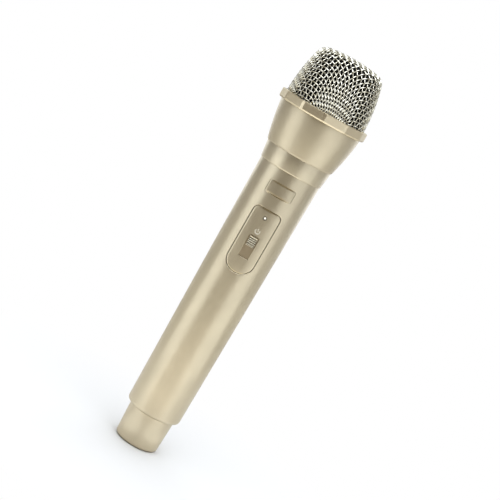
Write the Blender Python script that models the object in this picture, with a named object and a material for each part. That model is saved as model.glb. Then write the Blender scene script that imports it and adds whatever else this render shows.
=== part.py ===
"""Cordless karaoke microphone, modelled as the separate pieces it comes apart into.

The microphone stands on its tail: the axis is +Z, the tail's flat face is at Z = 0, and the switch panel
faces -Y. Lengths below are in millimetres and are turned into metres where a mesh is made.
"""

import math

import bmesh
import bpy
from mathutils import Matrix, Vector

MM = 0.001
GAP = 0.3  # left between pieces that touch or are fastened together

# Driving dimensions
TOTAL_LENGTH = 250.0
TAIL_RADIUS = 13.2
TAIL_TOP_RADIUS = 13.8
TAIL_FILLET = 1.7
HANDLE_BOTTOM = 19.2
HANDLE_TOP = 178.5
HANDLE_LOW_RADIUS = 16.55
HANDLE_HIGH_RADIUS = 18.5
HANDLE_LIP_RADIUS = 2.8
HANDLE_WALL = 1.7
NECK_RING_HEIGHT = 9.5
NECK_RING_LOW_RADIUS = 18.9
NECK_RING_HIGH_RADIUS = 19.7
CONE_TOP = 212.0
CONE_TOP_RADIUS = 24.8
CONE_WALL = 2.0
COLLAR_HEIGHT = 5.2
COLLAR_SIDES = 12
COLLAR_CORNER_RADIUS = 26.7
COLLAR_BORE_RADIUS = 24.85
GRILLE_RADIUS = 24.5
GRILLE_THICKNESS = 1.6
FOAM_THICKNESS = 2.0
THREAD_PITCH = 2.0
THREAD_TURNS = 2.25
CELL_RADIUS = 7.1
CELL_LENGTH = 50.5

# Heights and depths that follow from them
NECK_RING_BOTTOM = HANDLE_TOP + GAP
NECK_RING_TOP = NECK_RING_BOTTOM + NECK_RING_HEIGHT
CONE_BOTTOM = NECK_RING_TOP + GAP
COLLAR_BOTTOM = CONE_TOP + 0.4
COLLAR_TOP = COLLAR_BOTTOM + COLLAR_HEIGHT
THREAD_RUN = THREAD_PITCH * THREAD_TURNS
HANDLE_TAPER_START = HANDLE_BOTTOM + HANDLE_LIP_RADIUS + 1.0
HANDLE_TAPER = (HANDLE_HIGH_RADIUS - HANDLE_LOW_RADIUS) / (HANDLE_TOP - HANDLE_TAPER_START)

# Head thread, between the head spigot and the grille ring
HEAD_ROOT_RADIUS = 20.4
HEAD_CREST_RADIUS = 21.05
HEAD_BORE_RADIUS = 21.4
HEAD_BORE_CREST_RADIUS = 20.75
HEAD_THREAD_START = COLLAR_BOTTOM + 0.5

# Tail thread, between the end cap and the handle
TAIL_ROOT_RADIUS = 12.3
TAIL_CREST_RADIUS = 12.95
TAIL_BORE_RADIUS = 13.35
TAIL_BORE_CREST_RADIUS = 12.65
TAIL_SHOULDER = HANDLE_BOTTOM + 1.4
TAIL_THREAD_START = TAIL_SHOULDER + 2.5
TAIL_SPIGOT_TOP = TAIL_SHOULDER + 7.6

# Switch panel, blank plate, slot and indicator, on the -Y side
PANEL_WIDTH = 16.4
PANEL_BOTTOM = 116.8
PANEL_TOP = 155.8
PANEL_LOW_CORNER = 7.4
PANEL_HIGH_CORNER = 3.0
PANEL_SINK = 0.55
PLATE_CURVE_RADIUS = 24.0
PANEL_GROOVE = 0.4
BLANK_WIDTH = 15.8
BLANK_BOTTOM = 164.4
BLANK_TOP = 171.6
BLANK_SINK = 0.35
SLOT_WIDTH = 6.0
SLOT_BOTTOM = 126.0
SLOT_TOP = 139.6
KNOB_WIDTH = 4.7
KNOB_HEIGHT = 5.8
KNOB_TOP = 139.0
KNOB_TRAVEL = 7.0
KNOB_RIDGES = 5
INDICATOR_HEIGHT = 151.0
INDICATOR_HOLE_RADIUS = 1.2

# Electronics, seen from the panel side: the board's front and back faces in Y
BOARD_FRONT = -8.1
BOARD_BACK = -6.5
BOARD_WIDTH = 25.4
BOARD_BOTTOM = 114.4
BOARD_TOP = 171.8
BOARD_SCREW_X = 10.4
BOARD_SCREW_HEIGHTS = (118.0, 168.4)
CHASSIS_WALL = 1.4

# Batteries
SPRING_BOTTOM = 3.6
SPRING_TOP = 9.6
REAR_CELL_BOTTOM = SPRING_TOP + GAP
FRONT_CELL_BOTTOM = REAR_CELL_BOTTOM + CELL_LENGTH + GAP
FRONT_CELL_TOP = FRONT_CELL_BOTTOM + CELL_LENGTH
BATTERY_TUBE_BOTTOM = 30.0
BATTERY_TUBE_RADIUS = 8.6
BATTERY_TUBE_BORE = 7.55

# Capsule
CAPSULE_RADIUS = 12.5
CAPSULE_BOTTOM = 206.0
CAPSULE_TOP = 231.5

OUTER_SIDES = 40
INNER_SIDES = 24
SMALL_SIDES = 12


# ---------------------------------------------------------------- materials


def material(name, color, roughness, metallic=0.0):
    """A Principled material, made once and shared."""
    found = bpy.data.materials.get(name)
    if found:
        return found
    made = bpy.data.materials.new(name)
    made.use_nodes = True
    shader = made.node_tree.nodes["Principled BSDF"]
    shader.inputs["Base Color"].default_value = (*color, 1.0)
    shader.inputs["Roughness"].default_value = roughness
    shader.inputs["Metallic"].default_value = metallic
    return made


def champagne():
    return material("champagne_paint", (0.62, 0.55, 0.41), 0.36, 0.85)


def wire_steel():
    return material("mesh_wire", (0.76, 0.74, 0.66), 0.28, 1.0)


def steel():
    return material("steel", (0.58, 0.58, 0.57), 0.35, 1.0)


def brass():
    return material("brass", (0.75, 0.6, 0.3), 0.3, 1.0)


def black_plastic():
    return material("black_plastic", (0.03, 0.03, 0.032), 0.5)


def rubber():
    return material("rubber", (0.02, 0.02, 0.02), 0.75)


def foam():
    return material("foam", (0.015, 0.015, 0.016), 0.95)


def board_green():
    return material("board_laminate", (0.03, 0.16, 0.07), 0.45)


def copper():
    return material("copper_wire", (0.72, 0.4, 0.24), 0.35, 1.0)


def clear_film():
    return material("diaphragm_film", (0.7, 0.72, 0.7), 0.2)


def cell_jacket():
    return material("cell_jacket", (0.1, 0.16, 0.32), 0.35)


def indicator_lens():
    return material("indicator_lens", (0.9, 0.9, 0.86), 0.15)


def red_sleeve():
    return material("red_sleeve", (0.5, 0.03, 0.02), 0.45)


# ---------------------------------------------------------------- mesh helpers


def finish_mesh(name, mesh_builder, finish):
    """Turns a bmesh into an object with outward faces, smooth where it is round."""
    bmesh.ops.recalc_face_normals(mesh_builder, faces=mesh_builder.faces)
    mesh = bpy.data.meshes.new(name)
    mesh_builder.to_mesh(mesh)
    mesh_builder.free()
    mesh.shade_smooth()
    mesh.set_sharp_from_angle(angle=math.radians(35))
    mesh.materials.append(finish)
    made = bpy.data.objects.new(name, mesh)
    bpy.context.scene.collection.objects.link(made)
    return made


def turned(name, profile, finish, sides=OUTER_SIDES, closed=True, axis_offset=(0.0, 0.0), phase=0.0):
    """A lathe shape about a vertical axis. The profile is (radius, height) pairs: a closed ring section,
    or, with closed False, an open line that starts and ends on the axis."""
    builder = bmesh.new()
    x, y = axis_offset
    points = [builder.verts.new(((x + r) * MM, y * MM, z * MM)) for r, z in profile]
    pairs = list(zip(points, points[1:]))
    if closed:
        pairs.append((points[-1], points[0]))
    for pair in pairs:
        builder.edges.new(pair)
    centre = Vector((x * MM, y * MM, 0.0))
    bmesh.ops.spin(
        builder,
        geom=builder.verts[:] + builder.edges[:],
        cent=centre,
        axis=(0.0, 0.0, 1.0),
        angle=math.tau,
        steps=sides,
        use_merge=True,
    )
    bmesh.ops.remove_doubles(builder, verts=builder.verts[:], dist=1e-7)
    if phase:
        turn = Matrix.Translation(centre) @ Matrix.Rotation(phase, 4, "Z") @ Matrix.Translation(-centre)
        bmesh.ops.transform(builder, matrix=turn, verts=builder.verts[:])
    return finish_mesh(name, builder, finish)


def disc(name, radius, low, high, finish, sides=INNER_SIDES, axis_offset=(0.0, 0.0), phase=0.0):
    section = [(0, low), (radius, low), (radius, high), (0, high)]
    return turned(name, section, finish, sides, False, axis_offset, phase)


def ring(name, inner, outer, low, high, finish, sides=INNER_SIDES):
    return turned(name, [(inner, low), (outer, low), (outer, high), (inner, high)], finish, sides)


def rod_along_y(name, profile, x, z, finish, sides=SMALL_SIDES):
    """A lathe shape whose axis runs along -Y: the profile is (radius, distance in front of the centre)."""
    made = turned(name, profile, finish, sides, closed=False)
    made.data.transform(Matrix.Translation((x * MM, 0.0, z * MM)) @ Matrix.Rotation(math.pi / 2, 4, "X"))
    return made


def prism(name, outline, front, back, finish):
    """An outline of (x, z) points pushed along Y from front to back."""
    builder = bmesh.new()
    face = builder.faces.new([builder.verts.new((x * MM, front * MM, z * MM)) for x, z in outline])
    pushed = bmesh.ops.extrude_face_region(builder, geom=[face])["geom"]
    moved = [v for v in pushed if isinstance(v, bmesh.types.BMVert)]
    bmesh.ops.translate(builder, vec=(0.0, (back - front) * MM, 0.0), verts=moved)
    return finish_mesh(name, builder, finish)


def block(name, low, high, finish, bevel=0.0):
    """A box between two corners, with its edges bevelled if asked."""
    builder = bmesh.new()
    bmesh.ops.create_cube(builder, size=1.0)
    size = [(b - a) * MM for a, b in zip(low, high)]
    middle = [(a + b) / 2 * MM for a, b in zip(low, high)]
    bmesh.ops.scale(builder, vec=size, verts=builder.verts[:])
    bmesh.ops.translate(builder, vec=middle, verts=builder.verts[:])
    if bevel:
        bmesh.ops.bevel(builder, geom=builder.edges[:], offset=bevel * MM, segments=1, affect="EDGES")
    return finish_mesh(name, builder, finish)


def wire(name, points, radius, finish, resolution=1):
    """A round wire through the given points, with filled ends."""
    curve = bpy.data.curves.new(name, "CURVE")
    curve.dimensions = "3D"
    curve.bevel_depth = radius * MM
    curve.bevel_resolution = resolution
    curve.use_fill_caps = True
    spline = curve.splines.new("POLY")
    spline.points.add(len(points) - 1)
    for point, place in zip(spline.points, points):
        point.co = (place[0] * MM, place[1] * MM, place[2] * MM, 1.0)
    curve.materials.append(finish)
    made = bpy.data.objects.new(name, curve)
    bpy.context.scene.collection.objects.link(made)
    return made


def smooth_route(knots, steps):
    """Points on a Catmull-Rom curve through the knots."""
    ends = [knots[0], *knots, knots[-1]]
    route = []
    for a, b, c, d in zip(ends, ends[1:], ends[2:], ends[3:]):
        a, b, c, d = (Vector(p) for p in (a, b, c, d))
        for i in range(steps):
            t = i / steps
            route.append(
                0.5 * (2 * b + (c - a) * t + (2 * a - 5 * b + 4 * c - d) * t**2 + (3 * b - a - 3 * c + d) * t**3)
            )
    return [*route, Vector(knots[-1])]


def arc(centre, radius, start, end, steps):
    """Points on an arc in a profile, from start to end in degrees."""
    angles = [math.radians(start + (end - start) * i / steps) for i in range(steps + 1)]
    return [(centre[0] + radius * math.cos(a), centre[1] + radius * math.sin(a)) for a in angles]


def combine(target, other, operation):
    """Adds a Boolean to target and turns the other object into its hidden tool."""
    other.hide_render = True
    other.display_type = "WIRE"
    step = target.modifiers.new(other.name, "BOOLEAN")
    step.operation = operation
    step.solver = "EXACT"
    step.object = other
    return target


def thread_ridge(name, base_radius, crest_radius, start, finish, phase=0.0):
    """A right-handed ridge of trapezium section wound up the axis. Its base lies inside the wall it joins."""
    base_half, crest_half = 0.36, 0.2
    builder = bmesh.new()
    section = [
        (base_radius, -base_half),
        (crest_radius, -crest_half),
        (crest_radius, crest_half),
        (base_radius, base_half),
    ]
    face = builder.faces.new([builder.verts.new((r * MM, 0.0, (start + z) * MM)) for r, z in section])
    steps = round(THREAD_TURNS * THREAD_SIDES)
    bmesh.ops.spin(
        builder,
        geom=builder.verts[:] + builder.edges[:] + [face],
        cent=(0.0, 0.0, 0.0),
        axis=(0.0, 0.0, 1.0),
        dvec=(0.0, 0.0, THREAD_PITCH / THREAD_SIDES * MM),
        angle=math.tau * steps / THREAD_SIDES,
        steps=steps,
    )
    bmesh.ops.rotate(builder, verts=builder.verts[:], cent=(0, 0, 0), matrix=Matrix.Rotation(phase, 3, "Z"))
    return finish_mesh(name, builder, finish)


THREAD_SIDES = 32


# ---------------------------------------------------------------- shared shapes


def handle_radius(height):
    """The handle's outer radius at a height on its taper."""
    return HANDLE_LOW_RADIUS + HANDLE_TAPER * (height - HANDLE_TAPER_START)


def cone_radius(height):
    """The flared head's outer radius: a quick flare from the neck that straightens under the collar."""
    low = NECK_RING_HIGH_RADIUS + 0.4
    share = (height - CONE_BOTTOM) / (CONE_TOP - CONE_BOTTOM)
    ease = 1 - (1 - share) ** 1.75
    return low + (CONE_TOP_RADIUS - low) * (0.35 * share + 0.65 * ease)


def dome_profile(inset, steps_scale=1):
    """The grille's outline from its crown to its foot: crown, shoulder and barrel arcs, each tangent to the
    next. The inset moves it inwards by that much."""
    crown_end, shoulder_end, foot = math.radians(9.2), math.radians(71.0), math.radians(89.5)
    radii = (100.0, 5.0, 88.0)
    angles = (0.0, crown_end, shoulder_end, foot)
    counts = (3 * steps_scale, 4 * steps_scale, 5 * steps_scale)
    r, z = 0.0, TOTAL_LENGTH
    points = [(0.0, TOTAL_LENGTH - inset)]
    for radius, start, end, count in zip(radii, angles, angles[1:], counts):
        for i in range(1, count + 1):
            turn = start + (end - start) * i / count
            outer_r = r + radius * (math.sin(turn) - math.sin(start))
            outer_z = z - radius * (math.cos(start) - math.cos(turn))
            points.append((outer_r - inset * math.sin(turn), outer_z - inset * math.cos(turn)))
        r += radius * (math.sin(end) - math.sin(start))
        z -= radius * (math.cos(start) - math.cos(end))
    return points


def clipped(points, low):
    """The part of a falling profile above a height, ended exactly on it."""
    kept = [p for p in points if p[1] > low]
    return [*kept, (kept[-1][0], low)]


def outline(width, low, high, low_corner, high_corner, grow=0.0, steps=5):
    """A rounded upright outline in X and Z, grown outwards by a margin."""
    half = width / 2 + grow
    low, high = low - grow, high + grow
    low_corner, high_corner = low_corner + grow, high_corner + grow
    return [
        *arc((half - low_corner, low + low_corner), low_corner, -90, 0, steps),
        *arc((half - high_corner, high - high_corner), high_corner, 0, 90, steps),
        *arc((-half + high_corner, high - high_corner), high_corner, 90, 180, steps),
        *arc((-half + low_corner, low + low_corner), low_corner, 180, 270, steps),
    ]


def panel_outline(grow=0.0):
    return outline(PANEL_WIDTH, PANEL_BOTTOM, PANEL_TOP, PANEL_LOW_CORNER, PANEL_HIGH_CORNER, grow)


def blank_outline(grow=0.0):
    return outline(BLANK_WIDTH, BLANK_BOTTOM, BLANK_TOP, 0.7, 0.7, grow, steps=2)


def plate_face(name, middle, sink):
    """A solid whose -Y side is a sunk plate's front: flatter than the handle and leaning with its taper."""
    front = handle_radius(middle) - sink
    builder = bmesh.new()
    bmesh.ops.create_cone(
        builder,
        cap_ends=True,
        segments=72,
        radius1=PLATE_CURVE_RADIUS * MM,
        radius2=PLATE_CURVE_RADIUS * MM,
        depth=80 * MM,
    )
    lean = Matrix.Rotation(math.atan(HANDLE_TAPER), 4, "X")
    place = Matrix.Translation((0.0, (PLATE_CURVE_RADIUS - front) * MM, middle * MM))
    bmesh.ops.transform(builder, matrix=place @ lean, verts=builder.verts[:])
    return finish_mesh(name, builder, champagne())


# ---------------------------------------------------------------- casing


def make_handle_shell():
    lip = arc((TAIL_TOP_RADIUS - 0.1, HANDLE_BOTTOM + HANDLE_LIP_RADIUS), HANDLE_LIP_RADIUS, -82, -6, 4)
    bore_low = handle_radius(TAIL_SPIGOT_TOP + 2) - HANDLE_WALL
    profile = [
        *lip,
        (HANDLE_LOW_RADIUS, HANDLE_TAPER_START),
        (HANDLE_HIGH_RADIUS, HANDLE_TOP - 0.3),
        (HANDLE_HIGH_RADIUS - 0.3, HANDLE_TOP),
        (HANDLE_HIGH_RADIUS - HANDLE_WALL, HANDLE_TOP),
        (bore_low, TAIL_SPIGOT_TOP + 2),
        (TAIL_BORE_RADIUS, TAIL_SPIGOT_TOP + 0.8),
        (TAIL_BORE_RADIUS, TAIL_SHOULDER + 1.7),
        (lip[0][0], TAIL_SHOULDER + 1.7),
    ]
    shell = turned("handle_shell", profile, champagne())
    combine(shell, prism("panel_opening", panel_outline(PANEL_GROOVE), -24, -8, champagne()), "DIFFERENCE")
    combine(shell, prism("blank_opening", blank_outline(GAP), -24, -8, champagne()), "DIFFERENCE")
    ridge = thread_ridge(
        "handle_thread", TAIL_BORE_RADIUS + 0.4, TAIL_BORE_CREST_RADIUS, TAIL_THREAD_START, champagne(), math.pi
    )
    return combine(shell, ridge, "UNION")


def make_neck_ring():
    return turned(
        "neck_ring",
        [
            (17.6, NECK_RING_BOTTOM),
            (NECK_RING_LOW_RADIUS - 0.3, NECK_RING_BOTTOM),
            (NECK_RING_LOW_RADIUS, NECK_RING_BOTTOM + 0.3),
            (NECK_RING_HIGH_RADIUS, NECK_RING_TOP),
            (17.6, NECK_RING_TOP),
        ],
        champagne(),
    )


def make_neck_ferrule():
    """The sleeve inside the neck that the handle, the neck ring and the flared head are pressed on."""
    return turned(
        "neck_ferrule",
        [
            (15.2, HANDLE_TOP - 6.2),
            (16.4, HANDLE_TOP - 6.2),
            (16.4, HANDLE_TOP + GAP),
            (17.3, HANDLE_TOP + GAP),
            (17.3, CONE_BOTTOM + 4.5),
            (15.2, CONE_BOTTOM + 4.5),
        ],
        black_plastic(),
        32,
    )


def make_flared_head():
    rows = 8
    heights = [CONE_BOTTOM + 0.3 + (CONE_TOP - 0.3 - CONE_BOTTOM - 0.3) * i / rows for i in range(rows + 1)]
    outer = [(cone_radius(z), z) for z in heights]
    seat = CONE_TOP - 6
    inner = [(cone_radius(z) - CONE_WALL, z) for z in heights if CONE_BOTTOM + 5 < z < seat - 1]
    profile = [
        (17.6, CONE_BOTTOM),
        (cone_radius(CONE_BOTTOM) - 0.3, CONE_BOTTOM),
        *outer,
        (CONE_TOP_RADIUS - 0.4, CONE_TOP),
        (22.3, CONE_TOP),
        (22.3, seat),
        (21.4, seat),
        *reversed(inner),
        (17.6, CONE_BOTTOM + 4.9),
    ]
    return turned("flared_head", profile, champagne())


def make_head_spigot():
    """The threaded ring in the mouth of the flared head, which the grille screws onto."""
    flange_top = CONE_TOP - 0.2
    top = HEAD_THREAD_START + THREAD_RUN + 0.2
    profile = [
        (19.0, CONE_TOP - 5.7),
        (22.0, CONE_TOP - 5.7),
        (22.0, flange_top),
        (HEAD_ROOT_RADIUS, flange_top),
        (HEAD_ROOT_RADIUS, top),
        (19.0, top),
    ]
    spigot = turned("head_spigot", profile, steel(), THREAD_SIDES)
    ridge = thread_ridge("spigot_thread", HEAD_ROOT_RADIUS - 0.4, HEAD_CREST_RADIUS, HEAD_THREAD_START, steel())
    return combine(spigot, ridge, "UNION")


def make_end_cap():
    """The tail cap: it screws out to let the cells be changed."""
    fillet = arc((TAIL_RADIUS - TAIL_FILLET, TAIL_FILLET), TAIL_FILLET, -90, 0, 4)
    profile = [
        (0, 0),
        *fillet,
        (TAIL_TOP_RADIUS, HANDLE_BOTTOM - 0.2),
        (TAIL_TOP_RADIUS, TAIL_SHOULDER),
        (TAIL_ROOT_RADIUS, TAIL_SHOULDER),
        (TAIL_ROOT_RADIUS, TAIL_SPIGOT_TOP),
        (11.2, TAIL_SPIGOT_TOP),
        (11.2, 2.4),
        (0, 2.4),
    ]
    cap = turned("end_cap", profile, champagne(), closed=False)
    ridge = thread_ridge("cap_thread", TAIL_ROOT_RADIUS - 0.4, TAIL_CREST_RADIUS, TAIL_THREAD_START, champagne())
    return combine(cap, ridge, "UNION")


def make_cap_seal():
    """The rubber ring squeezed between the cap's shoulder and the handle."""
    return turned(
        "cap_seal_ring", arc((13.05, TAIL_SHOULDER + 0.85), 0.45, 0, 315, 7), rubber(), INNER_SIDES
    )


# ---------------------------------------------------------------- grille


def make_grille_mesh():
    """The woven dome as a plain shell of the weave's full thickness; it reaches down inside the collar."""
    foot = COLLAR_BOTTOM + 1.3
    outer = clipped(dome_profile(0.0), foot)
    inner = clipped(dome_profile(GRILLE_THICKNESS), foot)
    return turned("grille_mesh", [*outer, *reversed(inner)], wire_steel(), closed=False)


def make_collar():
    """The twelve-sided ring that stops the microphone rolling, with its corners and rims broken."""
    steps = COLLAR_SIDES * 2
    half_flat = math.radians(360 / COLLAR_SIDES / 2 - 1.4)
    builder = bmesh.new()
    loops = []
    for radius, height in (
        (COLLAR_CORNER_RADIUS - 0.5, COLLAR_BOTTOM),
        (COLLAR_CORNER_RADIUS, COLLAR_BOTTOM + 0.4),
        (COLLAR_CORNER_RADIUS, COLLAR_TOP - 0.4),
        (COLLAR_CORNER_RADIUS - 0.5, COLLAR_TOP),
    ):
        corners = []
        for i in range(steps):
            middle = math.tau * (i // 2 + 0.5) / COLLAR_SIDES - math.pi / 2
            angle = middle + (half_flat if i % 2 else -half_flat)
            corners.append(builder.verts.new((radius * math.cos(angle) * MM, radius * math.sin(angle) * MM, height * MM)))
        loops.append(corners)
    for low, high in zip(loops, loops[1:]):
        for i in range(steps):
            j = (i + 1) % steps
            builder.faces.new((low[i], low[j], high[j], high[i]))
    builder.faces.new(reversed(loops[0]))
    builder.faces.new(loops[-1])
    collar = finish_mesh("anti_roll_collar", builder, champagne())
    bore = turned(
        "collar_bore",
        [
            (0, COLLAR_BOTTOM - 1),
            (22.95, COLLAR_BOTTOM - 1),
            (22.95, COLLAR_BOTTOM + 1.0),
            (COLLAR_BORE_RADIUS, COLLAR_BOTTOM + 1.0),
            (COLLAR_BORE_RADIUS, COLLAR_TOP + 1),
            (0, COLLAR_TOP + 1),
        ],
        champagne(),
        closed=False,
    )
    return combine(collar, bore, "DIFFERENCE")


def make_grille_ring():
    """The ring that the mesh is crimped round; its bore carries the head thread."""
    top = HEAD_THREAD_START + THREAD_RUN + 0.2
    grille_ring = ring(
        "grille_thread_ring", HEAD_BORE_RADIUS, 22.6, COLLAR_BOTTOM, top, steel(), THREAD_SIDES
    )
    ridge = thread_ridge(
        "ring_thread", HEAD_BORE_RADIUS + 0.4, HEAD_BORE_CREST_RADIUS, HEAD_THREAD_START, steel(), math.pi
    )
    return combine(grille_ring, ridge, "UNION")


def make_foam():
    foot = COLLAR_TOP + 0.8
    outer = clipped(dome_profile(GRILLE_THICKNESS + 0.4), foot)
    inner = clipped(dome_profile(GRILLE_THICKNESS + 0.4 + FOAM_THICKNESS), foot)
    return turned("windscreen_foam", [*outer, *reversed(inner)], foam(), 32, closed=False)


# ---------------------------------------------------------------- capsule


def make_capsule():
    """The moving-coil capsule, its rubber mount and its terminals."""
    turned(
        "capsule_housing",
        [
            (4.0, CAPSULE_BOTTOM),
            (CAPSULE_RADIUS, CAPSULE_BOTTOM),
            (CAPSULE_RADIUS, CAPSULE_TOP),
            (11.6, CAPSULE_TOP),
            (11.6, CAPSULE_BOTTOM + 1.5),
            (4.0, CAPSULE_BOTTOM + 1.5),
        ],
        black_plastic(),
        32,
    )
    grid = disc("capsule_front_grid", CAPSULE_RADIUS, CAPSULE_TOP + GAP, CAPSULE_TOP + 1.6, steel(), 32)
    holes = [(0.0, 0.0)]
    holes += [(6.4 * math.cos(math.tau * i / 6), 6.4 * math.sin(math.tau * i / 6)) for i in range(6)]
    for i, place in enumerate(holes):
        hole = disc(f"grid_hole_{i}", 1.6, CAPSULE_TOP - 1, CAPSULE_TOP + 3, steel(), 8, place, phase=0.13)
        combine(grid, hole, "DIFFERENCE")
    disc("capsule_felt", 11.2, CAPSULE_TOP - 2, CAPSULE_TOP - 1, foam(), INNER_SIDES)
    turned(
        "magnet_yoke",
        [(0, 209.5), (11.0, 209.5), (11.0, 221.0), (9.0, 221.0), (9.0, 211.5), (0, 211.5)],
        steel(),
        INNER_SIDES,
        closed=False,
    )
    disc("magnet", 7.0, 211.8, 218.0, steel())
    disc("pole_plate", 7.4, 218.3, 220.8, steel())
    ring("diaphragm_frame", 9.5, 11.3, 221.3, 222.5, black_plastic())
    disc("terminal_board", 6.0, CAPSULE_BOTTOM - 1.5, CAPSULE_BOTTOM - GAP, board_green(), 16)
    turned(
        "capsule_shock_mount",
        [
            (12.8, 207.6),
            (14.0, 206.6),
            (18.7, 208.4),
            (18.7, 214.4),
            (16.6, 214.4),
            (14.4, 212.2),
            (12.8, 213.4),
        ],
        rubber(),
        INNER_SIDES,
    )


def make_diaphragm():
    """The film dome with its rolled edge, as one thin shell."""
    thickness = 0.35
    dome = [(0.0, 226.0), (3.2, 225.7), (6.0, 224.7), (8.2, 223.4)]
    roll = [(9.0, 223.8), (9.8, 223.8), (10.5, 223.2), (11.2, 223.2)]
    upper = [*dome, *roll]
    lower = [(r, z - thickness) for r, z in reversed(upper)]
    turned("diaphragm", [*upper, *lower], clear_film(), INNER_SIDES, closed=False)
    ring("voice_coil", 7.85, 8.5, 218.0, 222.7, copper())


# ---------------------------------------------------------------- electronics


def make_chassis():
    """The trough that carries the board: it fits the handle's bore and has four screw posts."""
    low, high = BOARD_BOTTOM - 0.2, BOARD_TOP
    face = BOARD_BACK + GAP
    outer = [(handle_radius(z) - HANDLE_WALL - 0.4, z) for z in (low, high)]
    inner = [(r - CHASSIS_WALL, z) for r, z in reversed(outer)]
    chassis = turned("board_chassis", [*outer, *inner], black_plastic(), 32)
    combine(chassis, block("chassis_cut", (-20, -20, low - 1), (20, face, high + 1), black_plastic()), "DIFFERENCE")
    for i, (x, z) in enumerate(screw_places()):
        post = block(f"chassis_post_{i}", (x - 2.4, face, z - 2.4), (x + 2.4, 7.6, z + 2.4), black_plastic())
        combine(chassis, post, "UNION")
        hole = rod_along_y(f"post_hole_{i}", [(0, 1.0), (1.15, 1.0), (1.15, 12), (0, 12)], x, z, black_plastic(), 8)
        combine(chassis, hole, "DIFFERENCE")
    return chassis


def screw_places():
    return [(x, z) for x in (-BOARD_SCREW_X, BOARD_SCREW_X) for z in BOARD_SCREW_HEIGHTS]


def make_board():
    half = BOARD_WIDTH / 2
    board = block("main_board", (-half, BOARD_FRONT, BOARD_BOTTOM), (half, BOARD_BACK, BOARD_TOP), board_green())
    for i, (x, z) in enumerate(screw_places()):
        hole = rod_along_y(f"board_hole_{i}", [(0, 4), (1.2, 4), (1.2, 12), (0, 12)], x, z, board_green(), 8)
        combine(board, hole, "DIFFERENCE")
    return board


def make_board_screws():
    """Pan-head screws with their shafts in the chassis posts."""
    head = -BOARD_FRONT + GAP
    for i, (x, z) in enumerate(screw_places()):
        profile = [(0, 2.2), (0.85, 2.6), (0.85, head), (1.9, head), (1.7, head + 0.9), (0, head + 1.2)]
        rod_along_y(f"board_screw_{i + 1}", profile, x, z, steel(), 10)


def make_board_parts():
    """What is soldered to the board: front parts stand towards the panel, back parts into the trough."""
    front = BOARD_FRONT - GAP
    back = BOARD_BACK + GAP
    block("radio_shield_can", (-7.9, front - 2.8, 155.4), (7.9, front, 166.8), steel(), 0.4)
    block("audio_chip", (-9.6, front - 1.3, 143.6), (-4.6, front, 148.6), black_plastic(), 0.2)
    block("indicator_lamp", (-0.9, front - 1.0, INDICATOR_HEIGHT - 1.5), (0.9, front, INDICATOR_HEIGHT + 1.5), clear_film())
    block("crystal", (-5.4, back, 156.0), (5.4, back + 3.4, 160.4), steel(), 0.6)
    for i, height in enumerate((132.0, 141.0)):
        rod_along_y(
            f"capacitor_{i + 1}", [(0, -2.8), (3.0, -2.8), (3.0, -back), (0, -back)], 3.4 * (-1) ** i, height, black_plastic(), 14
        )
    body = block("power_switch_body", (-4.4, front - 3.8, 122.8), (4.4, front, 143.0), steel(), 0.3)
    trench = block("switch_trench", (-2.0, front - 5, 124.8), (2.0, front - 1.2, 141.0), steel())
    combine(body, trench, "DIFFERENCE")


def make_switch_slider():
    """The moving contact block in the switch, in the knob's tail."""
    front = BOARD_FRONT - GAP
    middle = KNOB_TOP - KNOB_HEIGHT / 2
    block("switch_slider", (-1.6, front - 5.6, middle - 1.8), (1.6, front - 1.6, middle + 1.8), black_plastic(), 0.2)


def make_antenna():
    """The sleeved aerial that hangs from the board beside the cells."""
    knots = [(-5.6, -9.7, 119.0), (-6.0, -9.6, 113.5), (-8.6, -7.6, 108.0), (-9.9, -6.2, 102.0)]
    knots += [(-10.1, -5.8, 80.0), (-10.1, -5.8, 58.0), (-10.0, -5.7, 38.0)]
    return wire("antenna", smooth_route(knots, 3), 1.1, black_plastic())


def make_capsule_leads():
    """The two leads from the capsule's terminals down the neck to the board."""
    top, board = CAPSULE_BOTTOM - 1.5 - GAP, BOARD_TOP - 3
    for name, side, finish in (("capsule_lead_red", 1, red_sleeve()), ("capsule_lead_black", -1, black_plastic())):
        knots = [
            (2.2 * side, 0.0, top),
            (2.3 * side, 0.4, top - 4),
            (4.2 * side, 2.5, 194.0),
            (2.6 * side, 1.5, 184.0),
            (3.0 * side, -3.0, 177.0),
            (3.2 * side, -5.3, board),
        ]
        wire(name, smooth_route(knots, 3), 0.6, finish)


# ---------------------------------------------------------------- panel and switch


def make_switch_panel():
    """The inset plate with the switch slot and the indicator hole, thinned behind the slot."""
    middle = (PANEL_BOTTOM + PANEL_TOP) / 2
    panel = prism("switch_panel", panel_outline(), -24, -4, champagne())
    combine(panel, plate_face("panel_face", middle, PANEL_SINK), "INTERSECT")
    combine(panel, disc("panel_back", 15.2, PANEL_BOTTOM - 3, PANEL_TOP + 3, champagne(), 64), "DIFFERENCE")
    pocket_floor = panel_front(middle) + 0.9
    pocket = block("panel_pocket", (-4.3, pocket_floor, 117.9), (4.3, 0, 148.4), champagne())
    combine(panel, pocket, "DIFFERENCE")
    slot = outline(SLOT_WIDTH, SLOT_BOTTOM, SLOT_TOP, 0.5, 0.5, steps=1)
    combine(panel, prism("switch_slot", slot, -24, -4, champagne()), "DIFFERENCE")
    hole = rod_along_y(
        "indicator_hole",
        [(0, 4), (INDICATOR_HOLE_RADIUS, 4), (INDICATOR_HOLE_RADIUS, 24), (0, 24)],
        0,
        INDICATOR_HEIGHT,
        champagne(),
        16,
    )
    return combine(panel, hole, "DIFFERENCE")


def panel_front(height):
    """Y of the switch panel's front on its centre line."""
    return -(handle_radius(height) - PANEL_SINK)


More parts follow.
